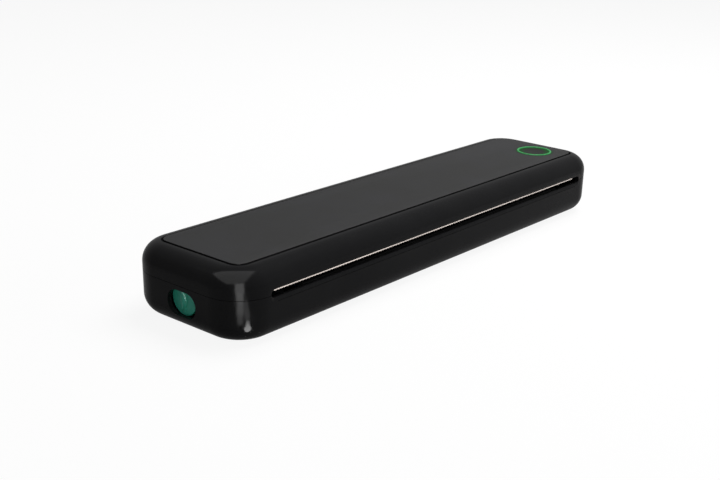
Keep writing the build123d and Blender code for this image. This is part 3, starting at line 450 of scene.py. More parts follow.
FINISHES: dict[str, Finish] = {
    # ABS moulded in a polished tool with a light spark grain: deep black, soft reflections.
    "shell_black": Moulded("black ABS, fine spark grain", "1B1B1C", "1D1D1E", 0.15, 0.02,
                           grain_mm=0.5, relief_mm=0.001, level=0.08),
    # ABS sheet, matt texture: dark grey with hardly any shine; painted glow and shade by the
    # ring.
    "plate_grey": PaintedRingGlow("grey ABS, matt texture", "393939", "3B3B3C", 0.62, 0.04,
                         grain_mm=0.3, relief_mm=0.012, level=0.1),
    # Plate's plastic moulded as a cap: a shade darker; painted glow and painted shade by the
    # ring.
    "button_grey": PaintedRingGlow("grey ABS, moulded cap", "2B2C2B", "2E2F2E", 0.6, 0.04,
                          grain_mm=0.3, relief_mm=0.012, level=0.15, reach_mm=4.5),
    # Acrylic ring with light from the board below it: clear green all the way round.
    "ring_green": LitRing("lit green acrylic", "33884B", "2F7F46", 0.4, 0.05, grain_mm=0.5),
    # Polycarbonate tinted right through: the light inside it gives the soft green body.
    "knob_green": Moulded("green polycarbonate, moulded", "38AC92", "309E88", 0.35, 0.05,
                          grain_mm=0.6, relief_mm=0.006, level=0.4, clear=0.15),
    # Same polycarbonate, on the ribbon hubs: deeper tone as painted shade, away from the light.
    "hub_green": Moulded("green polycarbonate, hub, painted shade", "1F6B5E", "1A6054", 0.38, 0.05,
                         grain_mm=0.6, relief_mm=0.006, clear=0.1),
    # Stainless strip, ground along its length: a bright line.
    "tear_steel": Metal("stainless steel, ground strip", "D2CFCB", "C8C5C1", 0.12, 0.03,
                        grain_mm=0.25, relief_mm=0.001, lay=Lay.ALONG_X),
    # Zinc-coated sheet steel: slight spangle and rolling lines.
    "sheet_steel": Metal("zinc-coated sheet steel", "A9ABAD", "9C9FA2", 0.38, 0.08,
                         grain_mm=0.5, relief_mm=0.004, patch_mm=6.0, lay=Lay.ALONG_Y),
    # Free-cutting steel, ground round: bright with fine lines.
    "shaft_steel": Metal("ground steel shaft", "B7B8B9", "ABACAE", 0.22, 0.05,
                         grain_mm=0.2, relief_mm=0.002, lay=Lay.ALONG_X),
    # Silicone sleeve ground to size: dull dark grey.
    "platen_rubber": Moulded("ground silicone rubber", "1D1E1F", "232425", 0.78, 0.05,
                             grain_mm=0.25, relief_mm=0.02, ior=1.41),
    # Filled acetal: black with a waxy shine.
    "bush_plastic": Moulded("black acetal, moulded", "1E1E1F", "262627", 0.42, 0.05,
                            grain_mm=0.5, relief_mm=0.006, ior=1.48),
    # Natural acetal: milky white gears.
    "gear_plastic": Moulded("natural acetal, moulded", "DAD7CC", "D0CDC2", 0.4, 0.06,
                            grain_mm=0.6, relief_mm=0.006, ior=1.48, clear=0.12),
    # Glazed alumina strip: cream, smooth as glass.
    "ceramic_head": Moulded("glazed alumina", "C9C2B0", "BFB8A6", 0.12, 0.03,
                            grain_mm=0.8, relief_mm=0.002, ior=1.62),
    # Extruded aluminium, clear anodised: silvery with soft lines.
    "sink_aluminium": Metal("extruded aluminium, anodised", "B4B7BA", "A8ABAF", 0.42, 0.06,
                            grain_mm=0.3, relief_mm=0.006, lay=Lay.ALONG_X),
    # Rolled spring strip: dark bright steel.
    "spring_steel": Metal("rolled spring steel", "8A8C90", "7D7F84", 0.3, 0.06,
                          grain_mm=0.3, relief_mm=0.003, lay=Lay.ALONG_X),
    # Spiral-wound grey card: dull, with short fibres.
    "core_card": Fibrous("wound grey card", "9A8F7E", "877C6C", 0.85, 0.05,
                         grain_mm=0.5, relief_mm=0.03, patch_mm=8.0),
    # Wax ribbon: black film with a slight shine.
    "ribbon_black": Wound("black wax ribbon film", "0D0D0E", "141416", 0.32, 0.06,
                          relief_mm=0.008, patch_mm=12.0),
    # Pressed wool felt: soft dark grey with a bloom.
    "felt": Fibrous("pressed wool felt", "4A4744", "5A5652", 0.95, 0.04,
                    grain_mm=0.35, relief_mm=0.06, patch_mm=3.0, bloom=0.5),
    # Nickel-plated motor can: warm and bright.
    "motor_steel": Metal("drawn steel can, nickel plated", "A6A7A3", "9A9B98", 0.25, 0.06,
                         grain_mm=0.4, relief_mm=0.003, lay=Lay.ALONG_X),
    # Solder mask over copper: glossy green with lighter tracks.
    "board_green": Board("green circuit board", "14522F", "175A35", 0.35, 0.05,
                         grain_mm=0.3, relief_mm=0.006),
    # Moulded epoxy packages: dull near-black.
    "chip_black": Moulded("moulded epoxy package", "1B1B1D", "242427", 0.55, 0.06,
                          grain_mm=0.2, relief_mm=0.012),
    # Heat-shrunk film on the cells: smooth with soft wrinkles.
    "cell_wrap": Moulded("blue shrink film", "1D3F73", "234A85", 0.28, 0.08,
                         grain_mm=4.0, relief_mm=0.06, ior=1.54),
    # Black ABS without the outside grain: plain and dull.
    "inner_plastic": Moulded("black ABS, plain inside", "101011", "151516", 0.5, 0.06,
                             grain_mm=0.5, relief_mm=0.01, level=0.12),
    # Nickel-plated neodymium: like a mirror, a little warm.
    "magnet_nickel": Metal("nickel-plated magnet", "B9B8B2", "AEADA8", 0.2, 0.05,
                           grain_mm=0.5, relief_mm=0.002),
    # Moulded rubber pads: dull dark grey.
    "foot_rubber": Moulded("moulded rubber pad", "232323", "2B2B2B", 0.85, 0.05,
                           grain_mm=0.3, relief_mm=0.03, ior=1.5),
    # Zinc-plated steel screws: pale grey, slightly cloudy.
    "screw_zinc": Metal("zinc-plated screw steel", "B3B4B6", "A2A4A8", 0.3, 0.07,
                        grain_mm=0.3, relief_mm=0.004),
}


# ---- modelling steps --------------------------------------------------------------------
class Join(Enum):
    """How two shapes are put together."""

    LESS = "DIFFERENCE"
    SHARED = "INTERSECT"
    BOTH = "UNION"


def focus(piece: Object) -> None:
    """Deselects everything and makes one piece active.

    Args:
        piece: Piece to work on.
    """
    bpy.ops.object.select_all(action="DESELECT")
    piece.select_set(True)
    bpy.context.view_layer.objects.active = piece


def settle(piece: Object) -> None:
    """Puts the piece's place, turn and size into its mesh."""
    focus(piece)
    bpy.ops.object.transform_apply(location=True, rotation=True, scale=True)


def cube_between(name: str, low: Vector, high: Vector) -> Object:
    """Starts a piece from a cube between two corners.

    Args:
        name: Name of the piece.
        low: Lowest corner, in metres.
        high: Highest corner, in metres.

    Returns:
        The cube, its place in its mesh.
    """
    bpy.ops.mesh.primitive_cube_add(size=1.0, location=(low + high) / 2)
    piece = bpy.context.object
    piece.name = piece.data.name = name
    piece.scale = high - low
    settle(piece)
    return piece


def disc_at(name: str, centre: Vector, radius: float, depth: float, sides: int = 128,
            lying: bool = False) -> Object:
    """Starts a piece from a cylinder.

    Args:
        name: Name of the piece.
        centre: Middle of the cylinder, in metres.
        radius: Radius, in metres.
        depth: Height, in metres.
        sides: Number of sides.
        lying: Whether its axis runs along x, and not upright.

    Returns:
        The cylinder, its place in its mesh.
    """
    turn = (0.0, math.pi / 2 * lying, 0.0)
    bpy.ops.mesh.primitive_cylinder_add(vertices=sides, radius=radius, depth=depth,
                                        location=centre, rotation=turn)
    piece = bpy.context.object
    piece.name = piece.data.name = name
    settle(piece)
    return piece


class Kind(Enum):
    """What is picked on a mesh."""

    EDGES = "EDGE"
    FACES = "FACE"


@contextmanager
def picked(piece: Object, kind: Kind, test: Callable[[Vector, Vector], bool]) -> Iterator[None]:
    """Holds a piece in edit mode with some of its edges or faces selected.

    Args:
        piece: Piece to work on.
        kind: Whether edges or faces are picked.
        test: Says whether one is picked, from an edge's two ends or a face's centre and normal.

    Returns:
        Context in which the piece is edited.
    """
    focus(piece)
    bpy.ops.object.mode_set(mode="EDIT")
    bpy.ops.mesh.select_mode(type=kind.value)
    bpy.ops.mesh.select_all(action="DESELECT")
    bpy.ops.object.mode_set(mode="OBJECT")
    spots = [v.co.copy() for v in piece.data.vertices]
    if kind is Kind.EDGES:
        for edge in piece.data.edges:
            edge.select = test(*(spots[i] for i in edge.vertices))
    else:
        for face in piece.data.polygons:
            face.select = test(face.center, face.normal)
    bpy.ops.object.mode_set(mode="EDIT")
    yield
    bpy.ops.object.mode_set(mode="OBJECT")


def round_edges(piece: Object, test: Callable[[Vector, Vector], bool], radius: float,
                steps: int) -> None:
    """Rounds the edges whose ends pass a test.

    Args:
        piece: Piece to work on.
        test: Says from its two ends whether an edge is rounded.
        radius: Radius, in metres.
        steps: Number of facets of the rounding.
    """
    with picked(piece, Kind.EDGES, test):
        bpy.ops.mesh.bevel(offset=radius, offset_type="OFFSET", segments=steps, profile=0.5,
                           affect="EDGES", clamp_overlap=False)


def combine(piece: Object, tool: Object, how: Join = Join.LESS) -> None:
    """Puts a piece together with another, which is then thrown away.

    Args:
        piece: Piece that stays.
        tool: Closed shape that it is cut by or joined to.
        how: What is left of the two.
    """
    focus(piece)
    step = piece.modifiers.new("combine", "BOOLEAN")
    step.operation, step.object, step.solver = how.value, tool, "MANIFOLD"
    bpy.ops.object.modifier_apply(modifier=step.name)
    bpy.data.objects.remove(tool)


def merged_copy(node: str, name: str) -> Object:
    """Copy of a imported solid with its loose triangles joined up.

    Args:
        node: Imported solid.
        name: Name of the new piece.

    Returns:
        The copy.
    """
    piece = bpy.data.objects.new(name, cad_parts[node].data.copy())
    bpy.context.scene.collection.objects.link(piece)
    with picked(piece, Kind.FACES, lambda centre, normal: True):
        bpy.ops.mesh.remove_doubles(threshold=WELD)
        bpy.ops.mesh.customdata_custom_splitnormals_clear()
    return piece


# ---- studio -----------------------------------------------------------------------------
class Use(Enum):
    """What a lamp is there for."""

    LIGHT = "light that falls on the object"
    MIRROR = "card that shows in glossy faces"


class Outline(Enum):
    """Shape of a lamp's face."""

    SQUARE = "RECTANGLE"
    OVAL = "ELLIPSE"


@dataclass(frozen=True)
class Light:
    """Area lamp. Places and sizes in metres.

    Attributes:
        name: Name of the lamp.
        place: Its middle.
        aim: Point it faces.
        size: Width and height.
        watts: Power.
        use: What it is there for.
        turn: Degrees it is turned about its own axis.
        tone: Colour of its light.
        shape: Outline of its face.
    """

    name: str
    place: tuple[float, float, float]
    aim: tuple[float, float, float]
    size: tuple[float, float]
    watts: float
    use: Use
    turn: float = 0.0
    tone: str = "FFFFFF"
    shape: Outline = Outline.SQUARE


CORNER_MM = (-149.0, -32.6)     # where the floor cards' line starts, at the near corner
AWAY = (-0.682, -0.731)         # way it runs from there
CARD_TURN = 43.0                # turn of a card that lies along it, in degrees


def floor_card(name: str, near: float, far: float, width: float, level: float) -> Light:
    """Card that lies on the table before the near corner of the housing.

    Args:
        name: Name of the card.
        near: Millimetres from the corner to its near end.
        far: Millimetres from the corner to its far end.
        width: Its width, in millimetres.
        level: Watts per square metre.

    Returns:
        The card.
    """
    x, y = ((start + way * (near + far) / 2) * MM for start, way in zip(CORNER_MM, AWAY))
    size = (width * MM, (far - near) * MM)
    return Light(name, (x, y, MM), (x, y, 1.0), size, level * size[0] * size[1], Use.MIRROR,
                 CARD_TURN)


# Three soft lamps light the object, and the cards after them show only in its gloss.
LIGHTS = (
    Light("overhead light", (0.45, -0.1, 0.95), (0, 0, 0.02), (0.8, 0.8), 11.6, Use.LIGHT),
    Light("front light", (0.5, -0.9, 0.25), (0, 0, 0.02), (0.6, 0.4), 3.0, Use.LIGHT),
    Light("left light", (-0.78, -0.62, 0.3), (-0.15, 0, 0.015), (0.5, 0.5), 1.2, Use.LIGHT),
    Light("ceiling card", (-0.923, -0.298, 1.0), (-0.923, -0.298, 0.0), (1.95, 1.55), 30.4,
          Use.MIRROR, 44.0),
    Light("corner strip", (-0.198, -0.085, 0.036), (-0.149, -0.0326, 0.036), (0.034, 0.075),
          0.070, Use.MIRROR),
    floor_card("corner card near", 22, 33, 9, 15.0),
    floor_card("corner card middle", 33, 50, 15, 25.0),
    floor_card("corner card far", 50, 73, 22, 29.0),
    Light("corner wedge", (-0.167, -0.0725, 0.001), (-0.167, -0.0725, 1.0), (0.012, 0.029),
          0.0043, Use.MIRROR, 41.5),
    Light("corner glint", (-0.1518, -0.0482, 0.001), (-0.1518, -0.0482, 1.0), (0.007, 0.021),
          0.0106, Use.MIRROR, 23.6, shape=Outline.OVAL),
    Light("outlet card", (0.068, -0.0783, 0.001), (0.068, -0.0783, 1.0), (0.320, 0.006), 0.0087,
          Use.MIRROR, tone="FFF1EA"),
)


@dataclass
class Studio:
    """Camera, pale floor and soft lights."""

    azimuth: float = -51.292
    elevation: float = 21.579
    roll: float = 1.783
    across_mm: float = 3.919        # camera's place off its line of sight
    up_mm: float = 41.995
    distance_mm: float = 615.24
    middle_mm: float = 19.5         # height that it is turned round
    lens_mm: float = 55.433
    sensor_mm: float = 36.0
    seen_m: tuple[float, float] = (0.05, 50.0)
    shift: tuple[float, float] = (-0.0380, 0.0747)
    floor_mm: float = 6000.0
    floor_cuts: int = 3
    floor_tone: str = "8C8C8C"      # to the light
    floor_seen: str = "FFFFFF"      # to the eye
    floor_share: float = 0.9        # plain white in the table as it is seen
    mirrored: float = 0.2           # white that gloss and glass show
    room: float = 0.12              # strength of the even room light

    def camera(self) -> None:
        """Sets up the camera that the scene uses."""
        a, e, r = (math.radians(v) for v in (self.azimuth, self.elevation, self.roll))
        back = Vector((math.sin(a) * math.cos(e), -math.cos(a) * math.cos(e), math.sin(e)))
        flat = Vector((math.cos(a), math.sin(a), 0.0))
        rise = back.cross(flat)
        right = flat * math.cos(r) + rise * math.sin(r)
        up = rise * math.cos(r) - flat * math.sin(r)
        place = (Vector((0, 0, self.middle_mm)) - right * self.across_mm - up * self.up_mm
                 + back * self.distance_mm) * MM
        data = bpy.data.cameras.new("camera")
        data.lens, data.sensor_width = self.lens_mm, self.sensor_mm
        data.shift_x, data.shift_y = self.shift
        data.clip_start, data.clip_end = self.seen_m
        eye = bpy.data.objects.new("camera", data)
        bpy.context.scene.collection.objects.link(eye)
        turn = Matrix((right, up, back)).transposed().to_4x4()
        eye.matrix_world = Matrix.Translation(place) @ turn
        bpy.context.scene.camera = eye

    def lamp(self, light: Light) -> None:
        """Sets up one lamp.

        Args:
            light: Place, aim, size and level of the lamp.
        """
        data = bpy.data.lights.new(light.name, "AREA")
        data.shape = light.shape.value
        data.size, data.size_y = light.size
        data.energy = light.watts
        data.color = linear(light.tone)[:3]
        lamp = bpy.data.objects.new(light.name, data)
        bpy.context.scene.collection.objects.link(lamp)
        lamp.location = light.place
        lamp.rotation_mode = "QUATERNION"
        facing = (Vector(light.aim) - Vector(light.place)).to_track_quat("-Z", "Y")
        lamp.rotation_quaternion = facing @ Quaternion((0, 0, 1), math.radians(light.turn))
        lamp.visible_diffuse = light.use is not Use.MIRROR
        lamp.visible_glossy = light.use is not Use.LIGHT
        lamp.visible_camera = False

    def background_share(self, tree: NodeTree, most: float) -> NodeSocket:
        """How much a ray shows of the white background: all of it when seen, part when mirrored.

        Args:
            tree: Node tree of the floor or the world.
            most: Share for rays from the camera.

        Returns:
            Socket with the share.
        """
        path = add_node(tree, "ShaderNodeLightPath").outputs
        bent = maths(tree, "MAXIMUM", path["Is Glossy Ray"], path["Is Transmission Ray"])
        dimmed = maths(tree, "MULTIPLY", bent, self.mirrored)
        both = maths(tree, "MAXIMUM", path["Is Camera Ray"], dimmed)
        return maths(tree, "MULTIPLY", both, most)

    def floor(self) -> None:
        """White table: pale paint to the light, white to the eye, with the shadow kept."""
        bpy.ops.mesh.primitive_plane_add(size=self.floor_mm * MM)
        table = bpy.context.object
        table.name = "floor"
        with picked(table, Kind.FACES, lambda centre, normal: True):
            bpy.ops.mesh.subdivide(number_cuts=self.floor_cuts)
        paint = bpy.data.materials.new("white studio table")
        tree = blank_tree(paint)
        seen = add_node(tree, "ShaderNodeLightPath").outputs["Is Camera Ray"]
        tone = add_node(tree, "ShaderNodeMixRGB", {"Fac": seen}, Color1=linear(self.floor_tone),
                        Color2=linear(self.floor_seen))
        matt = add_node(tree, "ShaderNodeBsdfDiffuse", {"Color": tone.outputs["Color"]})
        white = add_node(tree, "ShaderNodeEmission", Strength=1.0)
        mixed = add_node(tree, "ShaderNodeMixShader", {
            0: self.background_share(tree, self.floor_share), 1: matt.outputs[0],
            2: white.outputs[0]})
        add_node(tree, "ShaderNodeOutputMaterial", {"Surface": mixed.outputs[0]})
        table.data.materials.append(paint)

    def world(self) -> None:
        """Even room light, white where the background shows."""
        room = bpy.data.worlds.new("room")
        bpy.context.scene.world = room
        tree = blank_tree(room)
        plain = linear("FFFFFF")
        soft = add_node(tree, "ShaderNodeBackground", Color=plain, Strength=self.room)
        white = add_node(tree, "ShaderNodeBackground", Color=plain, Strength=1.0)
        mixed = add_node(tree, "ShaderNodeMixShader", {
            0: self.background_share(tree, 1.0), 1: soft.outputs[0], 2: white.outputs[0]})
        add_node(tree, "ShaderNodeOutputWorld", {"Surface": mixed.outputs[0]})

    def build(self) -> None:
        """Sets up the whole studio."""
        self.camera()
        self.floor()
        self.world()
        for light in LIGHTS:
            self.lamp(light)
        bpy.context.scene.view_settings.view_transform = "Standard"
        LOG.info("studio ready")


# ---- finishes on pieces -----------------------------------------------------------------
@dataclass
class Dresser:
    """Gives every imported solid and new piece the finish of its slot."""

    smooth_below: float = 30.0      # angle between faces that shade as one, in degrees
    made: dict[str, Material] = field(default_factory=dict)

    def material(self, slot: str) -> Material:
        """Material of a slot, made once.

        Args:
            slot: Material slot of the record.

        Returns:
            The material.
        """
        if slot not in self.made:
            self.made[slot] = FINISHES[slot].build()
        return self.made[slot]

    def dress_piece(self, piece: Object, body: str, slot: str, *nodes: str) -> Object:
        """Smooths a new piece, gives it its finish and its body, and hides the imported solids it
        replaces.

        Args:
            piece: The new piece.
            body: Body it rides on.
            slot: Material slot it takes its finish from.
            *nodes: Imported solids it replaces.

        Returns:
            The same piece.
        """
        focus(piece)
        bpy.ops.object.shade_smooth_by_angle(angle=math.radians(self.smooth_below))
        piece.data.materials.clear()
        piece.data.materials.append(self.material(slot))
        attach(piece, body)
        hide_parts(*nodes)
        LOG.info("built %s, %d faces", piece.name, len(piece.data.polygons))
        return piece

    def dress_nodes(self) -> None:
        """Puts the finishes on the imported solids."""
        for name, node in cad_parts.items():
            for holder in node.material_slots:
                holder.material = self.material(holder.material.name.split(".")[0])
            LOG.info("dressed %s", name)


# ---- housing ----------------------------------------------------------------------------
def off_corner(past: float, over: float, radius: float) -> tuple[float, Vector]:
    """How far a point is outside a round corner, and which way out is.

    Args:
        past: How far the point is past the corner's centre.
        over: How far it is past the centre the other way.
        radius: Radius of the corner.

    Returns:
        Distance, negative inside, and the outward direction.
    """
    way = Vector((max(past, 0.0), max(over, 0.0)))
    gap = way.length + min(max(past, over), 0.0) - radius
    if way.length < TINY:
        way = Vector((1.0, 0.0)) if past > over else Vector((0.0, 1.0))
    return gap, way.normalized()


@dataclass
class Housing:
    """Rounded black body in two halves, parted at the seam. Sizes in millimetres."""

    dresser: Dresser
    plan_radius: float = 19.7
    plan_steps: int = 28
    edge_radius: float = 10.0
    edge_steps: int = 16
    wall: float = 2.4
    slot_length: float = 269.0
    slot_low: float = 20.95
    slot_height: float = 4.07
    slope: float = 2.0          # under the outlet
    slope_depth: float = 0.35
    slope_edge: float = 0.2     # past the outlet's top and ends
    line_width: float = 0.3     # groove at the foot of the slope
    line_depth: float = 0.3
    skin: float = 0.5           # pushed out before it is trimmed to the smooth outside
    skin_reach: float = 0.04    # furthest from that outside that counts as skin
    low: Vector = field(init=False)
    high: Vector = field(init=False)

    def __post_init__(self) -> None:
        """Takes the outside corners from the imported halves."""
        self.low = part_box("base_shell")[0]
        self.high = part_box("cover_shell")[1]

    def slab(self) -> Object:
        """Whole outside of the body: a block with round corners and rolled edges.

        Returns:
            The block.
        """
        piece = cube_between("outside", self.low, self.high)
        round_edges(piece, lambda a, b: (a.xy - b.xy).length < MM, self.plan_radius * MM,
                    self.plan_steps)
        for level in (self.high.z, self.low.z):
            round_edges(piece, lambda a, b: abs(a.z - level) + abs(b.z - level) < NEAR,
                        self.edge_radius * MM, self.edge_steps)
        return piece

    def slot_tool(self, edge: float, under: float, y: float) -> Object:
        """Round-ended cutter that lies across the front, up to a depth.

        Args:
            edge: Millimetres added over the slot and at its ends.
            under: Millimetres added under the slot.
            y: Where its inner face stands, in metres.

        Returns:
            The cutter.
        """
        half_x = (self.slot_length / 2 + edge) * MM
        low, high = (self.slot_low - under) * MM, (self.slot_low + self.slot_height + edge) * MM
        tool = cube_between("slot tool", Vector((-half_x, self.low.y - 2 * MM, low)),
                            Vector((half_x, y, high)))
        round_edges(tool, lambda a, b: abs(a.y - b.y) > MM, ALMOST * (high - low) / 2,
                    self.edge_steps)
        return tool

    def slope_tool(self) -> Object:
        """Cutter for the shallow slope under the outlet.

        Returns:
            The cutter.
        """
        tool = self.slot_tool(self.slope_edge, self.slope, self.low.y)
        with picked(tool, Kind.FACES, lambda centre, normal: normal.y > FACING):
            bpy.ops.mesh.inset(thickness=self.slope * MM, depth=self.slope_depth * MM)
        return tool

    def outside(self) -> Object:
        """Smooth outside with the outlet cut in.

        Returns:
            The block with the outlet, its slope and its groove.
        """
        slab = self.slab()
        combine(slab, self.slope_tool())
        combine(slab, self.slot_tool(0.0, 0.0, self.low.y + 2 * self.wall * MM))
        foot = (self.slot_low - self.slope) * MM
        reach = (self.slot_length / 2 - self.slot_height) * MM
        half = self.line_width * MM / 2
        low = Vector((-reach, self.low.y - MM, foot - half))
        high = Vector((reach, self.low.y + self.line_depth * MM, foot + half))
        combine(slab, cube_between("line tool", low, high))
        return slab

    def off_skin(self, spot: Vector) -> tuple[float, Vector]:
        """How far a point is outside the slab, and which way out is.

        Args:
            spot: Point, in metres.

        Returns:
            Distance in metres, negative inside, and the outward direction.
        """
        middle = (self.low + self.high) / 2
        half = (self.high - self.low) / 2
        away = spot - middle
        plan, edge = self.plan_radius * MM, self.edge_radius * MM
        flat, corner = off_corner(abs(away.x) - half.x + plan, abs(away.y) - half.y + plan, plan)
        gap, lean = off_corner(flat + edge, abs(away.z) - half.z + edge, edge)
        out = Vector((math.copysign(corner.x, away.x) * lean.x,
                      math.copysign(corner.y, away.y) * lean.x, math.copysign(lean.y, away.z)))
        return gap, out

    def half(self, node: str, name: str) -> Object:
        """One half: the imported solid's inside under the smooth outside.

        Args:
            node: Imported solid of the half.
            name: Name of the new piece.

        Returns:
            The finished half.
        """
        piece = merged_copy(node, name)
        for vertex in piece.data.vertices:
            gap, out = self.off_skin(vertex.co)
            if abs(gap) < self.skin_reach * MM:
                vertex.co += out * self.skin * MM
        combine(piece, self.outside(), Join.SHARED)
        top = (self.slot_low + self.slot_height + 2 * self.slope_edge) * MM
        foot = (self.slot_low - self.slope) * MM - NEAR
        with picked(piece, Kind.EDGES, lambda a, b: max(a.y, b.y) < self.low.y + NEAR
                    and foot < min(a.z, b.z) and max(a.z, b.z) < top):
            bpy.ops.mesh.mark_sharp()
        return piece

    def build(self) -> None:
        """Makes both halves."""
        for node, name, body in (("base_shell", "housing_base", "base"),
                                 ("cover_shell", "housing_lid", "cover")):
            self.dresser.dress_piece(self.half(node, name), body, "shell_black", node)


@dataclass
class TopPanel:
    """Matt plate let into the lid, with the light ring and the button. Sizes in millimetres."""

    dresser: Dresser
    corner: float = 6.0
    corner_steps: int = 16
    edge: float = 0.08
    edge_steps: int = 2
    inset: float = 0.25         # groove round the plate
    proud: float = 0.35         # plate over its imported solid
    ring_width: float = 1.0
    ring_proud: float = 0.45    # ring over the plate
    ring_gap: float = 0.05
    ring_edge: float = 0.2
    cap_edge: float = 0.25
    cap_steps: int = 3
    cap_thick: float = 1.0
    cap_dish: float = 0.12
    cap_slope: float = 0.5      # round the dish
    cap_rim: float = 0.9
    stem_radius: float = 7.2
    hole_depth: float = 4.0     # of the cutter for the ring's hole
    topside: float = 0.5        # least rise of a face that keeps the plate's own finish
    centre: Vector = field(init=False)
    radius: float = field(init=False)

    def __post_init__(self) -> None:
        """Takes the ring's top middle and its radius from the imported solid."""
        low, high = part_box("ring_light")
        self.centre = Vector(((low.x + high.x) / 2, (low.y + high.y) / 2, high.z))
        self.radius = (high.x - low.x) / 2

    def groove_shade_sides(self, piece: Object) -> None:
        """Gives a piece's sides the housing's black as painted shade, so that the groove stays
        dark.

        Args:
            piece: Piece with its top finish.
        """
        piece.data.materials.append(self.dresser.material("shell_black"))
        for face in piece.data.polygons:
            face.material_index = int(face.normal.z < self.topside)

    def plate(self) -> Object:
        """Plate with round corners, a soft edge and the ring's hole.

        Returns:
            The plate.
        """
        low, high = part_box("top_plate")
        inside = Vector((self.inset, self.inset, 0.0)) * MM
        high.z += self.proud * MM
        piece = cube_between("top_panel", low + inside, high - inside)
        round_edges(piece, lambda a, b: (a.xy - b.xy).length < NEAR,
                    (self.corner - self.inset) * MM, self.corner_steps)
        round_edges(piece, lambda a, b: min(a.z, b.z) > high.z - NEAR, self.edge * MM,
                    self.edge_steps)
        combine(piece, disc_at("ring hole", self.centre, self.radius + self.ring_gap * MM,
                               self.hole_depth * MM))
        return piece

    def ring(self) -> Object:
        """Ring that stands a little proud of the plate, its top edges rounded.

        Returns:
            The ring.
        """
        low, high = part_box("ring_light")
        top = high.z + (self.proud + self.ring_proud) * MM
        middle = Vector((self.centre.x, self.centre.y, (low.z + top) / 2))
        piece = disc_at("power_light_ring", middle, self.radius, top - low.z)
        combine(piece, disc_at("ring bore", middle, self.radius - self.ring_width * MM,
                               2 * (top - low.z)))
        round_edges(piece, lambda a, b: min(a.z, b.z) > top - NEAR
                    and (a.xy - b.xy).length < MM, self.ring_edge * MM, self.cap_steps)
        return piece

    def button(self) -> Object:
        """Cap with a rounded rim and a shallow dish, on its stem.

        Returns:
            The cap and its stem, in one.
        """
        low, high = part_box("power_button")
        high.z += self.proud * MM
        radius = self.radius - (self.ring_width + 2 * self.ring_gap) * MM
        thick = self.cap_thick * MM
        middle = Vector((self.centre.x, self.centre.y, high.z - thick / 2))
        piece = disc_at("power_button_cap", middle, radius, thick)
        with picked(piece, Kind.FACES, lambda centre, normal: normal.z < -FACING):
            bpy.ops.mesh.inset(thickness=radius - self.stem_radius * MM)
            bpy.ops.mesh.extrude_region_move(
                TRANSFORM_OT_translate={"value": (0, 0, low.z - high.z + thick)})
        with picked(piece, Kind.FACES, lambda centre, normal: normal.z > FACING):
            bpy.ops.mesh.inset(thickness=self.cap_rim * MM)
            bpy.ops.mesh.inset(thickness=self.cap_slope * MM, depth=-self.cap_dish * MM)
        round_edges(piece, lambda a, b: min(a.z, b.z) > high.z - NEAR
                    and min((p.xy - middle.xy).length for p in (a, b)) > radius - NEAR,
                    self.cap_edge * MM, self.cap_steps)
        return piece

    def build(self) -> None:
        """Makes the plate, the ring and the button."""
        dress = self.dresser.dress_piece
        self.groove_shade_sides(dress(self.plate(), "cover", "plate_grey", "top_plate"))
        dress(self.ring(), "cover", "ring_green", "ring_light")
        dress(self.button(), "button", "button_grey", "power_button")


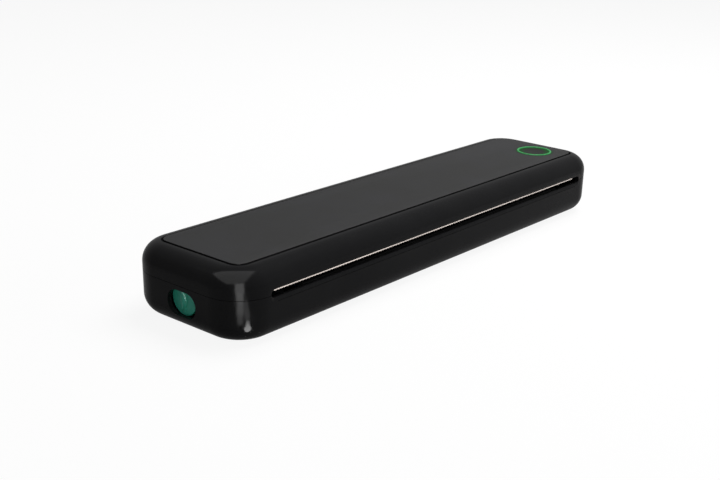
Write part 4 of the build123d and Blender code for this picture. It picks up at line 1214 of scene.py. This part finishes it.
@dataclass
class GripWheel:
    """Finger wheel with a domed leaf-shaped grip across its face. Sizes in millimetres.

    Each step of the grip is its rise, and what is left of its width and of its length. The
    first one draws in the ends, so that the crest turns inside the window of the housing.
    """

    dresser: Dresser
    thick: float = 3.0
    edge: float = 0.3
    edge_steps: int = 3
    overlap: float = 0.05       # sleeve in the wheel
    grip_length: float = 15.4
    grip_width: float = 3.8
    grip_foot: float = 0.2
    grip_steps: tuple[tuple[float, float, float], ...] = (
        (0.3, 0.9, 0.645), (0.4, 0.9, 0.98), (0.35, 0.75, 0.97), (0.15, 0.6, 0.96))
    bow_sides: int = 256
    low: Vector = field(init=False)
    high: Vector = field(init=False)
    middle: Vector = field(init=False)
    face: float = field(init=False)
    radius: float = field(init=False)

    def __post_init__(self) -> None:
        """Takes the wheel's face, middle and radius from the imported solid."""
        self.low, self.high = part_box("hand_wheel")
        rise = self.grip_foot + sum(step[0] for step in self.grip_steps)
        self.face = self.low.x + rise * MM
        self.radius = (self.high.z - self.low.z) / 2
        self.middle = (self.low + self.high) / 2

    def bow(self, side: int) -> Object:
        """Cylinder that makes one long side of the leaf.

        Args:
            side: Which side, one or minus one.

        Returns:
            The cylinder.
        """
        half, wide = self.grip_length / 2, self.grip_width / 2
        radius = (half ** 2 + wide ** 2) / (2 * wide)
        centre = Vector((self.face, self.middle.y + side * (radius - wide) * MM, self.middle.z))
        return disc_at("bow", centre, radius * MM, 2 * self.grip_foot * MM, self.bow_sides,
                       lying=True)

    def grip(self) -> Object:
        """Leaf with a domed top.

        Returns:
            The leaf, its foot half in the wheel.
        """
        leaf = self.bow(1)
        combine(leaf, self.bow(-1), Join.SHARED)
        with picked(leaf, Kind.FACES, lambda centre, normal: normal.x < -FACING):
            for rise, width, length in self.grip_steps:
                bpy.ops.mesh.extrude_region_move(
                    TRANSFORM_OT_translate={"value": (-rise * MM, 0, 0)})
                bpy.ops.transform.resize(value=(1.0, width, length))
        return leaf

    def build(self) -> None:
        """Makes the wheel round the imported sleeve."""
        wheel = merged_copy("hand_wheel", "grip_wheel")
        back = self.face + self.thick * MM
        low = self.low - Vector((MM, MM, MM))
        high = Vector((back - self.overlap * MM, self.high.y + MM, self.high.z + MM))
        combine(wheel, cube_between("front", low, high))
        centre = Vector(((self.face + back) / 2, self.middle.y, self.middle.z))
        disc = disc_at("disc", centre, self.radius, self.thick * MM, lying=True)
        round_edges(disc, lambda a, b: abs(a.x - b.x) < NEAR and (a - b).length < MM,
                    self.edge * MM, self.edge_steps)
        combine(disc, self.grip(), Join.BOTH)
        combine(wheel, disc, Join.BOTH)
        self.dresser.dress_piece(wheel, "takeup_spool", "knob_green", "hand_wheel")


@dataclass
class HeadSprings:
    """Springs under the print head."""

    dresser: Dresser
    travel_mm: float = 0.6

    def build(self) -> None:
        """Makes springs that stay on the floor of the base."""
        piece = merged_copy("head_springs", "pressure_springs")
        self.dresser.dress_piece(piece, "base", "spring_steel", "head_springs")
        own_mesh(piece)


def main() -> None:
    """Builds the sub-assemblies in order."""
    logging.basicConfig(level=logging.INFO, format="%(message)s")
    Studio().build()
    dresser = Dresser()
    dresser.dress_nodes()
    for assembly in (Housing, TopPanel, GripWheel, HeadSprings):
        assembly(dresser).build()


if __name__ == "__main__":
    main()
